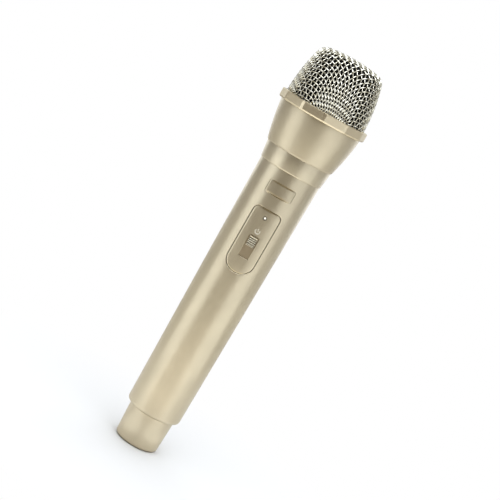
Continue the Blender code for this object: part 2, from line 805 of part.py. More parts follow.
def make_blank_plate():
    """The plain plate that fills the display opening."""
    middle = (BLANK_BOTTOM + BLANK_TOP) / 2
    plate = prism("display_blank_plate", blank_outline(), -24, -4, champagne())
    combine(plate, plate_face("blank_face", middle, BLANK_SINK), "INTERSECT")
    return combine(plate, disc("blank_back", 15.6, BLANK_BOTTOM - 3, BLANK_TOP + 3, champagne(), 64), "DIFFERENCE")


def make_indicator_lens():
    """The light pipe whose domed end shows in the panel."""
    tip = -panel_front(INDICATOR_HEIGHT) + 0.45
    base = -BOARD_FRONT + GAP + 1.0 + GAP
    profile = [
        (0, base),
        (1.5, base),
        (1.5, base + 1.2),
        (0.85, base + 1.2),
        (0.85, tip - 0.5),
        (0.6, tip - 0.15),
        (0, tip),
    ]
    return rod_along_y("indicator_light_pipe", profile, 0, INDICATOR_HEIGHT, indicator_lens(), 16)


def make_switch_knob():
    """The ribbed thumb pad with the sliding shutter that keeps the slot closed behind it."""
    bottom = KNOB_TOP - KNOB_HEIGHT
    crest = panel_front(KNOB_TOP) - 0.85
    valley = crest + 0.4
    shutter_front = panel_front((PANEL_BOTTOM + PANEL_TOP) / 2) + 0.9 + GAP
    pitch = KNOB_HEIGHT / KNOB_RIDGES
    ridges = []
    for i in range(KNOB_RIDGES):
        start = bottom + i * pitch
        ridges += [(start + 0.2 * pitch, valley), (start + 0.4 * pitch, crest), (start + 0.75 * pitch, crest)]
        ridges += [(start + 0.95 * pitch, valley)]
    side = [(bottom, shutter_front + 0.4), (bottom, valley), *ridges, (KNOB_TOP, valley), (KNOB_TOP, shutter_front + 0.4)]
    builder = bmesh.new()
    half = KNOB_WIDTH / 2
    face = builder.faces.new([builder.verts.new((-half * MM, y * MM, z * MM)) for z, y in side])
    pushed = bmesh.ops.extrude_face_region(builder, geom=[face])["geom"]
    moved = [v for v in pushed if isinstance(v, bmesh.types.BMVert)]
    bmesh.ops.translate(builder, vec=(KNOB_WIDTH * MM, 0.0, 0.0), verts=moved)
    knob = finish_mesh("switch_knob", builder, champagne())
    shutter = block(
        "knob_shutter",
        (-3.9, shutter_front, SLOT_BOTTOM - 0.8),
        (3.9, shutter_front + 0.8, SLOT_TOP + KNOB_TRAVEL + 0.8),
        champagne(),
    )
    combine(knob, shutter, "UNION")
    middle = (bottom + KNOB_TOP) / 2
    slider_front = BOARD_FRONT - GAP - 5.6
    fork = block("knob_fork", (-1.4, shutter_front + 0.4, middle - 1.6), (1.4, slider_front - GAP, middle + 1.6), champagne())
    return combine(knob, fork, "UNION")


# ---------------------------------------------------------------- batteries


def make_cell(name, bottom):
    top = bottom + CELL_LENGTH
    return turned(
        name,
        [
            (0, bottom),
            (4.6, bottom),
            (CELL_RADIUS - 0.4, bottom + 0.2),
            (CELL_RADIUS, bottom + 0.6),
            (CELL_RADIUS, top - 1.9),
            (CELL_RADIUS - 0.6, top - 1.2),
            (2.75, top - 1.2),
            (2.75, top - 0.1),
            (2.5, top),
            (0, top),
        ],
        cell_jacket(),
        20,
        closed=False,
    )


def make_battery_tube():
    """The tube the cells slide in, with two flanges that hold it in the handle."""
    top = FRONT_CELL_TOP + 2.4
    low_flange = handle_radius(BATTERY_TUBE_BOTTOM) - HANDLE_WALL - 0.35
    high_flange = handle_radius(104) - HANDLE_WALL - 0.35
    profile = [
        (BATTERY_TUBE_BORE, BATTERY_TUBE_BOTTOM),
        (low_flange, BATTERY_TUBE_BOTTOM),
        (low_flange, BATTERY_TUBE_BOTTOM + 1.6),
        (BATTERY_TUBE_RADIUS, BATTERY_TUBE_BOTTOM + 1.6),
        (BATTERY_TUBE_RADIUS, 104.0),
        (high_flange, 104.0),
        (high_flange, 105.6),
        (BATTERY_TUBE_RADIUS, 105.6),
        (BATTERY_TUBE_RADIUS, top),
        (2.0, top),
        (2.0, top - 1.1),
        (BATTERY_TUBE_BORE, top - 1.1),
    ]
    tube = turned("battery_tube", profile, black_plastic(), INNER_SIDES)
    notch = block("aerial_notch", (-13, -11, 103), (-7.8, -3.2, 107), black_plastic())
    combine(tube, notch, "DIFFERENCE")
    strip_notch = block("strip_notch", (-2.6, 9.1, 29), (2.6, 17, 107), black_plastic())
    return combine(tube, strip_notch, "DIFFERENCE")


def make_contacts():
    disc("front_contact", 5.6, FRONT_CELL_TOP + GAP, FRONT_CELL_TOP + 0.9, brass(), 20)
    disc("cap_contact_disc", 8.4, 2.7, 3.2, brass(), INNER_SIDES)
    block("negative_strip", (-2.0, 9.4, 29.4), (2.0, 9.9, 113.6), brass())


def make_battery_spring():
    """The cone-wound spring that presses the cells forward."""
    turns, per_turn, wire_radius = 3.5, 14, 0.45
    low, high = SPRING_BOTTOM + wire_radius, SPRING_TOP - wire_radius
    steps = round(turns * per_turn)
    points = []
    for i in range(steps + 1):
        share = i / steps
        angle = math.tau * turns * share
        radius = 6.4 - 2.6 * share
        points.append((radius * math.cos(angle), radius * math.sin(angle), low + (high - low) * share))
    return wire("battery_spring", points, wire_radius, steel())


# ---------------------------------------------------------------- assembly

MOVING = {
    "grille_axis": (COLLAR_BOTTOM, ("grille_mesh", "anti_roll_collar", "grille_thread_ring")),
    "windscreen_axis": (COLLAR_TOP, ("windscreen_foam",)),
    "diaphragm_axis": (223.4, ("diaphragm", "voice_coil")),
    "switch_axis": (KNOB_TOP - KNOB_HEIGHT / 2, ("switch_knob", "switch_slider")),
    "end_cap_axis": (TAIL_SHOULDER, ("end_cap", "cap_seal_ring", "cap_contact_disc")),
    "battery_spring_axis": (SPRING_BOTTOM, ("battery_spring",)),
}


def hang_on_axes():
    """Parents the pieces that move together to an empty on their joint's axis."""
    for name, (height, members) in MOVING.items():
        empty = bpy.data.objects.new(name, None)
        empty.location = (0.0, 0.0, height * MM)
        bpy.context.scene.collection.objects.link(empty)
        bpy.context.view_layer.update()
        for member in members:
            piece = bpy.data.objects[member]
            piece.parent = empty
            piece.matrix_parent_inverse = empty.matrix_world.inverted()


def main():
    for old in list(bpy.data.objects):
        bpy.data.objects.remove(old)
    make_handle_shell()
    make_neck_ring()
    make_neck_ferrule()
    make_flared_head()
    make_head_spigot()
    make_end_cap()
    make_cap_seal()
    make_grille_mesh()
    make_collar()
    make_grille_ring()
    make_foam()
    make_capsule()
    make_diaphragm()
    make_chassis()
    make_board()
    make_board_screws()
    make_board_parts()
    make_switch_slider()
    make_antenna()
    make_capsule_leads()
    make_switch_panel()
    make_blank_plate()
    make_indicator_lens()
    make_switch_knob()
    make_cell("rear_cell", REAR_CELL_BOTTOM)
    make_cell("front_cell", FRONT_CELL_BOTTOM)
    make_battery_tube()
    make_contacts()
    make_battery_spring()
    hang_on_axes()


main()
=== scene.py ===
"""Looks, floor, light and camera for the cordless karaoke microphone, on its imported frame.

Shape helpers take millimetres and make meshes in metres, in the frame's own axes: +Z is the
microphone's axis, the tail's flat face is at Z = 0, and the switch panel faces -Y.
"""

import math

import bmesh
import bpy
import numpy as np
from mathutils import Matrix, Quaternion, Vector


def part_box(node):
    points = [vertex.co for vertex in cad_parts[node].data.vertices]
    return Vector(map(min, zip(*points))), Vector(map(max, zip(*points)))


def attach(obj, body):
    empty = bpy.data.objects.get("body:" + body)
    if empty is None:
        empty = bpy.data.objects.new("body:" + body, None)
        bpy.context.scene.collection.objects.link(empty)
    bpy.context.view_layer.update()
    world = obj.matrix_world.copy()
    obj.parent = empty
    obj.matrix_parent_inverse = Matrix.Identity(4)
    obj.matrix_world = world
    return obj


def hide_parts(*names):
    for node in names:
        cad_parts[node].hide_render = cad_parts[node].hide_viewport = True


MM = 0.001
ROUND = 160  # sides of the large turned shells

# Camera: the angle it looks from, where it aims on the axis, and how it is rolled
CAMERA_AZIMUTH = -2.5
CAMERA_ELEVATION = 8.5
CAMERA_ROLL = 29.95
CAMERA_DISTANCE = 0.796
CAMERA_LENS = 102.0
AIM_HEIGHT = 0.1291
AIM_OFFSET = 0.00223

# Woven wire
WIRE_PITCH = 2.45
WIRE_RADIUS = 0.35
WEAVE_SWING = 0.36  # how far a wire swings out and in where it crosses another
WEAVE_TURN = math.radians(5.0)  # how far right of the panel one sheared zone of the weave faces
WIRE_SIDES = 6
STEPS_PER_CELL = 4
NET_REACH = 29  # crossings on each straight wire, from the crown down

# The dome's three arcs from the crown down, and the outline's turn from the axis where each begins and ends
DOME_RADII = (95.0, 6.4, 101.0)
DOME_TURNS = (0.0, math.radians(9.2), math.radians(73.5), math.radians(89.5))

# How the net is drawn and then settles: rounds, the share of each error taken up at a step, and the closest
# that a cell's diagonal gets to flat
DRAW_ROUNDS, DRAW_PULL = 60, 0.9
SETTLE_ROUNDS = 220
SIDE_PULL, SHEAR_PULL, LOCK_PULL, FAIR_PULL = 0.45, 0.01, 0.25, 0.1
LOCK_DIAGONAL = 1.5

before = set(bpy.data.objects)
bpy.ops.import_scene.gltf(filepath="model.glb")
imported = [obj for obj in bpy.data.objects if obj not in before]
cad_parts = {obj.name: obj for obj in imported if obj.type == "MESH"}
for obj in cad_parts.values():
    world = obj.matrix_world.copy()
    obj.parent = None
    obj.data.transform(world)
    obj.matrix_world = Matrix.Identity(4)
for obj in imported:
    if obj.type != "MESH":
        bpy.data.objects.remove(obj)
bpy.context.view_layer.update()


def tops(node):
    """The node's lowest and highest Z in millimetres."""
    low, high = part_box(node)
    return low.z / MM, high.z / MM


HANDLE_LOW, HANDLE_HIGH = tops("handle_shell")
RING_LOW = tops("neck_ring")[0]
HEAD_LOW, HEAD_HIGH = tops("flared_head")
COLLAR_LOW, COLLAR_HIGH = tops("anti_roll_collar")
GRILLE_TOP = tops("grille_mesh")[1]
CAP_TOP = tops("end_cap")[1]
PANEL_LOW, PANEL_HIGH = tops("switch_panel")
BLANK_LOW, BLANK_HIGH = tops("display_blank_plate")
LAMP_HEIGHT = sum(tops("indicator_light_pipe")) / 2
SHUTTER_LOW, SHUTTER_HIGH = tops("switch_knob")

# Radii, walls and the sizes of the details
HANDLE_LOW_RADIUS = 16.55
HANDLE_HIGH_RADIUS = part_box("handle_shell")[1].x / MM
HANDLE_LIP = 2.8
HANDLE_WALL = 1.7
LIP_LOW = HANDLE_LOW + 1.25
TAPER_START = HANDLE_LOW + HANDLE_LIP + 1.0
TAPER = (HANDLE_HIGH_RADIUS - HANDLE_LOW_RADIUS) / (HANDLE_HIGH - TAPER_START)
CAP_LOW_RADIUS = 13.2
CAP_HIGH_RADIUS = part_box("end_cap")[1].x / MM
CAP_SHOULDER = HANDLE_LOW + 1.4
CAP_ROOT, CAP_CREST, CAP_BORE, CAP_FLOOR = 12.3, 12.95, 11.2, 2.4
TAIL_MOUTH, TAIL_BORE = CAP_HIGH_RADIUS + 0.35, 13.4
NECK_BORE = 17.6
RING_LOW_RADIUS = 19.0
RING_HIGH_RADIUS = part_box("neck_ring")[1].x / MM + 0.35
HEAD_LOW_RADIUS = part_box("neck_ring")[1].x / MM + 0.8
HEAD_HIGH_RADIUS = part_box("flared_head")[1].x / MM
HEAD_MOUTH, HEAD_SEAT_BORE, HEAD_SEAT = 22.3, 21.4, HEAD_HIGH - 6
COLLAR_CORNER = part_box("anti_roll_collar")[1].x / MM
COLLAR_SIDES, COLLAR_LOW_BORE, COLLAR_HIGH_BORE = 12, 22.95, 24.85
COLLAR_FLAT = math.radians(13.15)  # half the angle that one flat face takes up: the bevels take the rest
PANEL_WIDTH, PANEL_LOW_CORNER, PANEL_HIGH_CORNER = 16.4, 7.4, 3.0
BLANK_WIDTH, BLANK_CORNER = 15.8, 0.9
PANEL_SINK, BLANK_SINK = 0.55, 0.35
PANEL_BACK, BLANK_BACK = 15.2, 15.6
PLATE_CURVE = 24.0
TOOL_BACK, TOOL_FRONT = -6.0, -24.0  # Y of the ends of the cutters that go through the handle's front
SLOT_WIDTH, SLOT_LOW, SLOT_HIGH, SLOT_CORNER = 6.0, 126.0, 139.6, 0.5
LAMP_RADIUS, LAMP_HOLE = 0.66, 1.12
SHADOW_RING_BORE, SHADOW_RING_RADIUS = 0.72, 1.08
LAMP_PLACE = Matrix.Translation((0, 0, LAMP_HEIGHT * MM)) @ Matrix.Rotation(math.pi / 2, 4, "X")
MARK_HEIGHT, MARK_RADIUS = 142.6, 1.35
KNOB_WIDTH, KNOB_LOW, KNOB_HIGH = 4.7, 133.2, 139.0
KNOB_RIBS = 5
THREAD_PITCH, THREAD_TURNS = 2.0, 2.25


# ---------------------------------------------------------------- finishes


class Finish:
    """A Principled material and the nodes that vary it over the surface."""

    def __init__(self, name, color, roughness, metallic=0.0, **sockets):
        self.material = bpy.data.materials.new(name)
        self.material.use_nodes = True
        self.tree = self.material.node_tree
        self.shader = self.tree.nodes["Principled BSDF"]
        self.shader.inputs["Base Color"].default_value = (*color, 1.0)
        self.shader.inputs["Roughness"].default_value = roughness
        self.shader.inputs["Metallic"].default_value = metallic
        for socket, value in sockets.items():
            self.shader.inputs[socket.replace("_", " ")].default_value = value
        self.place = self.add("ShaderNodeTexCoord").outputs["Object"]
        self.normal = None

    def add(self, kind, **settings):
        node = self.tree.nodes.new(kind)
        for key, value in settings.items():
            setattr(node, key, value)
        return node

    def link(self, source, target):
        self.tree.links.new(source, target)

    def stretched(self, scale):
        """Object coordinates scaled by a different amount along each axis."""
        mapping = self.add("ShaderNodeMapping")
        mapping.inputs["Scale"].default_value = scale
        self.link(self.place, mapping.inputs["Vector"])
        return mapping.outputs["Vector"]

    def noise(self, scale, detail=3.0, stretch=None):
        node = self.add("ShaderNodeTexNoise")
        node.inputs["Scale"].default_value = scale
        node.inputs["Detail"].default_value = detail
        self.link(self.stretched(stretch) if stretch else self.place, node.inputs["Vector"])
        return node.outputs["Fac"]

    def cells(self, scale, output="Distance"):
        node = self.add("ShaderNodeTexVoronoi")
        node.inputs["Scale"].default_value = scale
        self.link(self.place, node.inputs["Vector"])
        return node.outputs[output]

    def bands(self, scale, direction="Z"):
        node = self.add("ShaderNodeTexWave", bands_direction=direction)
        node.inputs["Scale"].default_value = scale
        self.link(self.place, node.inputs["Vector"])
        return node.outputs["Fac"]

    def axis(self, name):
        split = self.add("ShaderNodeSeparateXYZ")
        self.link(self.place, split.inputs[0])
        return split.outputs[name]

    def ramp(self, source, low, high, to_low=0.0, to_high=1.0):
        node = self.add("ShaderNodeMapRange")
        for key, value in zip(("From Min", "From Max", "To Min", "To Max"), (low, high, to_low, to_high)):
            node.inputs[key].default_value = value
        self.link(source, node.inputs["Value"])
        return node.outputs["Result"]

    def tint(self, source, first, second):
        """Base colour from first to second as the source goes from 0 to 1. Either may be a socket."""
        node = self.add("ShaderNodeMix", data_type="RGBA")
        self.link(source, node.inputs["Factor"])
        for socket, value in ((node.inputs[6], first), (node.inputs[7], second)):
            if isinstance(value, tuple):
                socket.default_value = (*value, 1.0)
            else:
                self.link(value, socket)
        self.link(node.outputs[2], self.shader.inputs["Base Color"])
        return node.outputs[2]

    def rough(self, source, low, high):
        """Roughness from low to high, over the range that most noise keeps to."""
        self.link(self.ramp(source, 0.3, 0.7, low, high), self.shader.inputs["Roughness"])

    def bump(self, source, depth, strength=1.0):
        """Adds relief, its depth in millimetres, on top of any relief already there."""
        node = self.add("ShaderNodeBump")
        node.inputs["Distance"].default_value = depth * MM
        node.inputs["Strength"].default_value = strength
        self.link(source, node.inputs["Height"])
        if self.normal:
            self.link(self.normal, node.inputs["Normal"])
        self.normal = node.outputs["Normal"]
        self.link(self.normal, self.shader.inputs["Normal"])


def champagne_paint(name, color=(0.70, 0.61, 0.435), metallic=0.92, roughness=0.34, edge=1.0):
    """Satin metallic paint: fine flake, a little orange peel, and slow drifts in tone. An edge below 1 dulls
    it where it is seen edge on."""
    finish = Finish(name, color, roughness, metallic, Coat_Weight=0.12, Coat_Roughness=0.28)
    finish.shader.inputs["Specular Tint"].default_value = (edge, edge, edge, 1.0)
    darker = tuple(c * 0.94 for c in color)
    flake = finish.cells(7000.0, "Color")
    drift = finish.noise(60.0, 6.0)
    tone = finish.tint(finish.ramp(drift, 0.35, 0.65), darker, color)
    finish.tint(finish.ramp(flake, 0.82, 1.0, 0.0, 0.16), tone, (0.9, 0.85, 0.72))
    finish.rough(finish.noise(160.0, 5.0), roughness - 0.03, roughness + 0.03)
    finish.bump(finish.noise(900.0, 3.0), 0.06, 0.7)
    finish.bump(finish.cells(6000.0), 0.004, 0.5)
    return finish.material


def wire_plate():
    """Drawn steel wire plated a pale champagne, duller where it has been pressed."""
    finish = Finish("plated_wire", (0.94, 0.91, 0.78), 0.24, 1.0, Specular_Tint=(0.3, 0.3, 0.28, 1.0))
    finish.tint(finish.ramp(finish.noise(260.0, 3.0), 0.4, 0.7), (0.96, 0.93, 0.81), (0.8, 0.75, 0.6))
    finish.rough(finish.noise(900.0, 3.0), 0.17, 0.3)
    finish.bump(finish.noise(5000.0, 2.0), 0.01, 0.4)
    return finish.material


def turned_steel(name="turned_steel", color=(0.6, 0.6, 0.585)):
    """Machined and plated steel with fine tool marks round it."""
    finish = Finish(name, color, 0.3, 1.0)
    finish.rough(finish.noise(1200.0, 4.0, (0.1, 0.1, 6.0)), 0.22, 0.38)
    finish.tint(finish.ramp(finish.noise(90.0), 0.4, 0.7), color, tuple(c * 0.8 for c in color))
    finish.bump(finish.bands(900.0), 0.006, 0.5)
    return finish.material


def pressed_metal(name, color):
    """Stamped sheet metal with faint rolling lines and tarnish."""
    finish = Finish(name, color, 0.28, 1.0)
    finish.tint(finish.ramp(finish.noise(220.0, 5.0), 0.42, 0.72), color, tuple(c * 0.72 for c in color))
    finish.rough(finish.noise(2000.0, 3.0, (1.0, 1.0, 0.08)), 0.21, 0.42)
    finish.bump(finish.noise(3000.0, 2.0, (1.0, 1.0, 0.1)), 0.004, 0.4)
    return finish.material


def wound_copper():
    """Enamelled wire in even turns."""
    finish = Finish("wound_copper", (0.66, 0.27, 0.12), 0.3, 1.0, Coat_Weight=0.5)
    finish.tint(finish.bands(1600.0), (0.32, 0.11, 0.05), (0.76, 0.36, 0.17))
    finish.bump(finish.bands(1600.0), 0.05)
    return finish.material


def moulded(name, color, roughness, grain=2400.0, depth=0.02):
    """Moulded plastic with a spark-eroded grain and faint flow marks."""
    finish = Finish(name, color, roughness, 0.0)
    lighter = tuple(c * 1.5 + 0.004 for c in color)
    finish.tint(finish.ramp(finish.noise(120.0, 3.0), 0.35, 0.7), color, lighter)
    finish.rough(finish.noise(700.0, 4.0), roughness - 0.08, roughness + 0.08)
    finish.bump(finish.noise(grain, 3.0), depth, 0.5)
    return finish.material


def open_foam():
    """Open-cell foam: round pores in a matt black body."""
    finish = Finish("open_foam", (0.008, 0.008, 0.008), 0.97, 0.0, Specular_IOR_Level=0.15)
    pores = finish.cells(1100.0)
    finish.tint(finish.ramp(pores, 0.2, 0.7), (0.003, 0.003, 0.003), (0.014, 0.014, 0.013))
    finish.bump(pores, 0.3)
    return finish.material


def pressed_felt():
    """Dark felt with its fibres lying one way."""
    finish = Finish("pressed_felt", (0.03, 0.03, 0.032), 0.95, 0.0, Sheen_Weight=0.4)
    fibres = finish.noise(1500.0, 6.0, (1.0, 3.0, 1.0))
    finish.tint(finish.ramp(fibres, 0.35, 0.7), (0.02, 0.02, 0.022), (0.07, 0.07, 0.07))
    finish.bump(fibres, 0.12)
    return finish.material


def circuit_board():
    """Green solder mask over copper tracks, with tinned pads at the crossings."""
    finish = Finish("circuit_board", (0.02, 0.16, 0.06), 0.3, 0.0, Coat_Weight=0.6, Coat_Roughness=0.12)
    tracks = finish.add("ShaderNodeTexBrick", offset=0.5)
    for key, value in (("Scale", 260.0), ("Mortar Size", 0.03), ("Brick Width", 0.9), ("Row Height", 0.42)):
        tracks.inputs[key].default_value = value
    turn = finish.add("ShaderNodeMapping")
    turn.inputs["Rotation"].default_value = (math.pi / 2, 0.0, 0.0)
    finish.link(finish.place, turn.inputs["Vector"])
    finish.link(turn.outputs["Vector"], tracks.inputs["Vector"])
    mask = finish.tint(tracks.outputs["Fac"], (0.008, 0.085, 0.03), (0.03, 0.2, 0.075))
    pads = finish.ramp(finish.cells(380.0), 0.14, 0.12)
    finish.tint(pads, mask, (0.72, 0.7, 0.64))
    finish.bump(tracks.outputs["Fac"], 0.04, 0.6)
    return finish.material


def cell_jacket(name, node):
    """A cell's printed sleeve: a plain dark body, a plain light band, and bare steel ends."""
    low, high = tops(node)
    finish = Finish(name, (0.03, 0.05, 0.1), 0.28, 0.6, Coat_Weight=0.5)
    height = finish.axis("Z")
    ends = finish.add("ShaderNodeMath", operation="ADD")
    finish.link(finish.ramp(height, (low + 0.5) * MM, (low + 0.45) * MM), ends.inputs[0])
    finish.link(finish.ramp(height, (high - 1.9) * MM, (high - 1.85) * MM), ends.inputs[1])
    band = finish.tint(
        finish.ramp(height, (high - 12.2) * MM, (high - 12.0) * MM), (0.02, 0.035, 0.085), (0.62, 0.6, 0.55)
    )
    finish.tint(ends.outputs[0], band, (0.7, 0.7, 0.68))
    finish.rough(finish.noise(400.0, 4.0), 0.22, 0.36)
    finish.bump(finish.noise(900.0, 2.0), 0.01, 0.4)
    return finish.material


def diaphragm_film():
    """Thin drawn film with tangential ripples round its edge."""
    finish = Finish("diaphragm_film", (0.8, 0.82, 0.78), 0.12, 0.0, Alpha=0.75, IOR=1.6)
    finish.rough(finish.noise(800.0, 3.0), 0.1, 0.22)
    finish.bump(finish.bands(500.0, "DIAGONAL"), 0.02, 0.5)
    return finish.material


def lamp_lens():
    """A clear lens lit from behind."""
    finish = Finish("lamp_lens", (0.93, 0.88, 0.74), 0.16, 0.0, Emission_Strength=0.4)
    finish.shader.inputs["Emission Color"].default_value = (1.0, 0.93, 0.76, 1.0)
    finish.rough(finish.noise(900.0, 2.0), 0.12, 0.2)
    finish.bump(finish.noise(1200.0, 2.0), 0.01, 0.3)
    return finish.material


# ---------------------------------------------------------------- shapes


def as_object(name, builder, finish, angle=32.0):
    """Turns a bmesh into an object with outward faces, smooth up to an angle."""
    bmesh.ops.recalc_face_normals(builder, faces=builder.faces)
    mesh = bpy.data.meshes.new(name)
    builder.to_mesh(mesh)
    builder.free()
    mesh.shade_smooth()
    mesh.set_sharp_from_angle(angle=math.radians(angle))
    mesh.materials.append(finish)
    made = bpy.data.objects.new(name, mesh)
    bpy.context.scene.collection.objects.link(made)
    return made


def lofted(rows):
    """A closed bmesh skin through rows of points in millimetres, with a flat face over each end row."""
    builder = bmesh.new()
    loops = [[builder.verts.new(Vector(point) * MM) for point in row] for row in rows]
    for low, high in zip(loops, loops[1:]):
        for i in range(len(low)):
            j = (i + 1) % len(low)
            builder.faces.new((low[i], low[j], high[j], high[i]))
    builder.faces.new(loops[0])
    builder.faces.new(loops[-1])
    return builder


def rounded(corners, closed=True, steps=4):
    """A profile with its corners rounded. Each corner is (radius, height) or (radius, height, rounding)."""
    points = []
    count = len(corners)
    for i, corner in enumerate(corners):
        here = Vector(corner[:2])
        size = corner[2] if len(corner) > 2 else 0.0
        if not size or (not closed and i in (0, count - 1)):
            points.append(tuple(here))
            continue
        before = (Vector(corners[i - 1][:2]) - here).normalized()
        after = (Vector(corners[(i + 1) % count][:2]) - here).normalized()
        half = before.angle(after) / 2
        reach = size / math.tan(half)
        start, end = here + before * reach, here + after * reach
        centre = here + (before + after).normalized() * (size / math.sin(half))
        turn = (start - centre).angle_signed(end - centre)
        for k in range(steps + 1):
            arm = (start - centre).copy()
            arm.rotate(Matrix.Rotation(-turn * k / steps, 2))
            points.append(tuple(centre + arm))
    return points


def turned(name, profile, finish, sides=ROUND, closed=True):
    """A lathe shape about the Z axis. With closed False the profile starts and ends on the axis."""
    builder = bmesh.new()
    points = [builder.verts.new((r * MM, 0.0, z * MM)) for r, z in profile]
    pairs = list(zip(points, points[1:]))
    if closed:
        pairs.append((points[-1], points[0]))
    for pair in pairs:
        builder.edges.new(pair)
    bmesh.ops.spin(
        builder,
        geom=builder.verts[:] + builder.edges[:],
        cent=(0.0, 0.0, 0.0),
        axis=(0.0, 0.0, 1.0),
        angle=math.tau,
        steps=sides,
        use_merge=True,
    )
    bmesh.ops.remove_doubles(builder, verts=builder.verts[:], dist=1e-7)
    return as_object(name, builder, finish)


def applied(target):
    """Applies the target's modifiers to its mesh."""
    bpy.context.view_layer.update()
    result = bpy.data.meshes.new_from_object(target.evaluated_get(bpy.context.evaluated_depsgraph_get()))
    target.modifiers.clear()
    old, target.data = target.data, result
    bpy.data.meshes.remove(old)
    return target


def combined(target, other, operation):
    """Adds, cuts or keeps by the other object, applies it, and removes the other."""
    step = target.modifiers.new("step", "BOOLEAN")
    step.operation = operation
    step.solver = "EXACT"
    step.object = other
    applied(target)
    bpy.data.objects.remove(other)
    target.data.shade_smooth()
    target.data.set_sharp_from_angle(angle=math.radians(32.0))
    return target


def evened(target, angle=32.0):
    """Shades each smooth face by its own area, so that narrow rounded edges don't bend the wide faces."""
    target.data.set_sharp_from_angle(angle=math.radians(angle))
    step = target.modifiers.new("step", "WEIGHTED_NORMAL")
    step.mode = "FACE_AREA"
    step.weight = 60
    step.keep_sharp = True
    return applied(target)


def arc(centre, radius, start, end, steps):
    """Points on an arc, from start to end in degrees."""
    angles = [math.radians(start + (end - start) * i / steps) for i in range(steps + 1)]
    return [(centre[0] + radius * math.cos(a), centre[1] + radius * math.sin(a)) for a in angles]


def outline(width, low, high, low_corner, high_corner, grow, steps):
    """A rounded upright outline in X and Z, grown outwards by a margin."""
    half = width / 2 + grow
    low, high = low - grow, high + grow
    low_corner, high_corner = max(low_corner + grow, 0.05), max(high_corner + grow, 0.05)
    return [
        *arc((half - low_corner, low + low_corner), low_corner, -90, 0, steps),
        *arc((half - high_corner, high - high_corner), high_corner, 0, 90, steps),
        *arc((-half + high_corner, high - high_corner), high_corner, 90, 180, steps),
        *arc((-half + low_corner, low + low_corner), low_corner, 180, 270, steps),
    ]


def panel_outline(grow):
    return outline(PANEL_WIDTH, PANEL_LOW, PANEL_HIGH, PANEL_LOW_CORNER, PANEL_HIGH_CORNER, grow, 14)


def blank_outline(grow):
    return outline(BLANK_WIDTH, BLANK_LOW, BLANK_HIGH, BLANK_CORNER, BLANK_CORNER, grow, 6)


def slot_outline(grow):
    return outline(SLOT_WIDTH, SLOT_LOW, SLOT_HIGH, SLOT_CORNER, SLOT_CORNER, grow, 4)


def rolled(start, *sizes):
    """A rounded edge for edged_tool, as deep as it is wide."""
    reach = abs(sizes[-1] - start)
    turned_in = [reach - math.sqrt(max(reach**2 - (reach - abs(size - start)) ** 2, 0.0)) for size in sizes]
    return [(start, reach), *zip(sizes, turned_in)]


def edged_tool(name, shape, face, edge):
    """A solid that follows an outline through a curved face. The face gives Y at (x, z). The edge says how
    far the outline is grown at each depth behind the face, from the deepest up to the face."""
    loops = [(edge[0][0], None, TOOL_BACK), *((size, depth, None) for size, depth in edge[:-1])]
    loops += [(edge[-1][0], -0.02, None), (edge[-1][0], None, TOOL_FRONT)]
    rows = []
    for size, depth, flat in loops:
        rows.append([(x, face(x, z) + depth if flat is None else flat, z) for x, z in shape(size)])
    return as_object(name, lofted(rows), None)


def thread_ridge(name, base_radius, crest_radius, start, finish):
    """A right-handed ridge with a rounded crest. Its base lies inside the wall it joins."""
    sides = 96
    section = [(base_radius, -0.4), (crest_radius - 0.08, -0.2), (crest_radius, -0.1)]
    section += [(r, -z) for r, z in reversed(section)]
    builder = bmesh.new()
    face = builder.faces.new([builder.verts.new((r * MM, 0.0, (start + z) * MM)) for r, z in section])
    steps = round(THREAD_TURNS * sides)
    bmesh.ops.spin(
        builder,
        geom=builder.verts[:] + builder.edges[:] + [face],
        cent=(0.0, 0.0, 0.0),
        axis=(0.0, 0.0, 1.0),
        dvec=(0.0, 0.0, THREAD_PITCH / sides * MM),
        angle=math.tau * steps / sides,
        steps=steps,
    )
    return as_object(name, builder, finish)


def block(name, low, high, finish):
    """A flat-sided block between two corners."""
    builder = bmesh.new()
    bmesh.ops.create_cube(builder, size=1.0)
    bmesh.ops.scale(builder, vec=[(b - a) * MM for a, b in zip(low, high)], verts=builder.verts[:])
    bmesh.ops.translate(builder, vec=[(a + b) / 2 * MM for a, b in zip(low, high)], verts=builder.verts[:])
    return as_object(name, builder, finish)


def placed(piece, body, slot, *nodes):
    """Hangs a new piece on its body, in place of the nodes it stands for."""
    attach(piece, body)
    if nodes:
        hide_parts(*nodes)


# ---------------------------------------------------------------- casing


def handle_radius(height):
    """The handle's outer radius on its taper."""
    return HANDLE_LOW_RADIUS + TAPER * (height - TAPER_START)


def handle_face(x, z):
    """Y of the handle's front surface."""
    return -math.sqrt(handle_radius(z) ** 2 - x * x)


def plate_face(sink, middle):
    """Y of a sunk plate's front: flatter than the handle and leaning with its taper."""

    def face(x, z):
        front = handle_radius(middle) - sink + TAPER * (z - middle)
        return PLATE_CURVE - front - math.sqrt(PLATE_CURVE**2 - x * x)

    return face


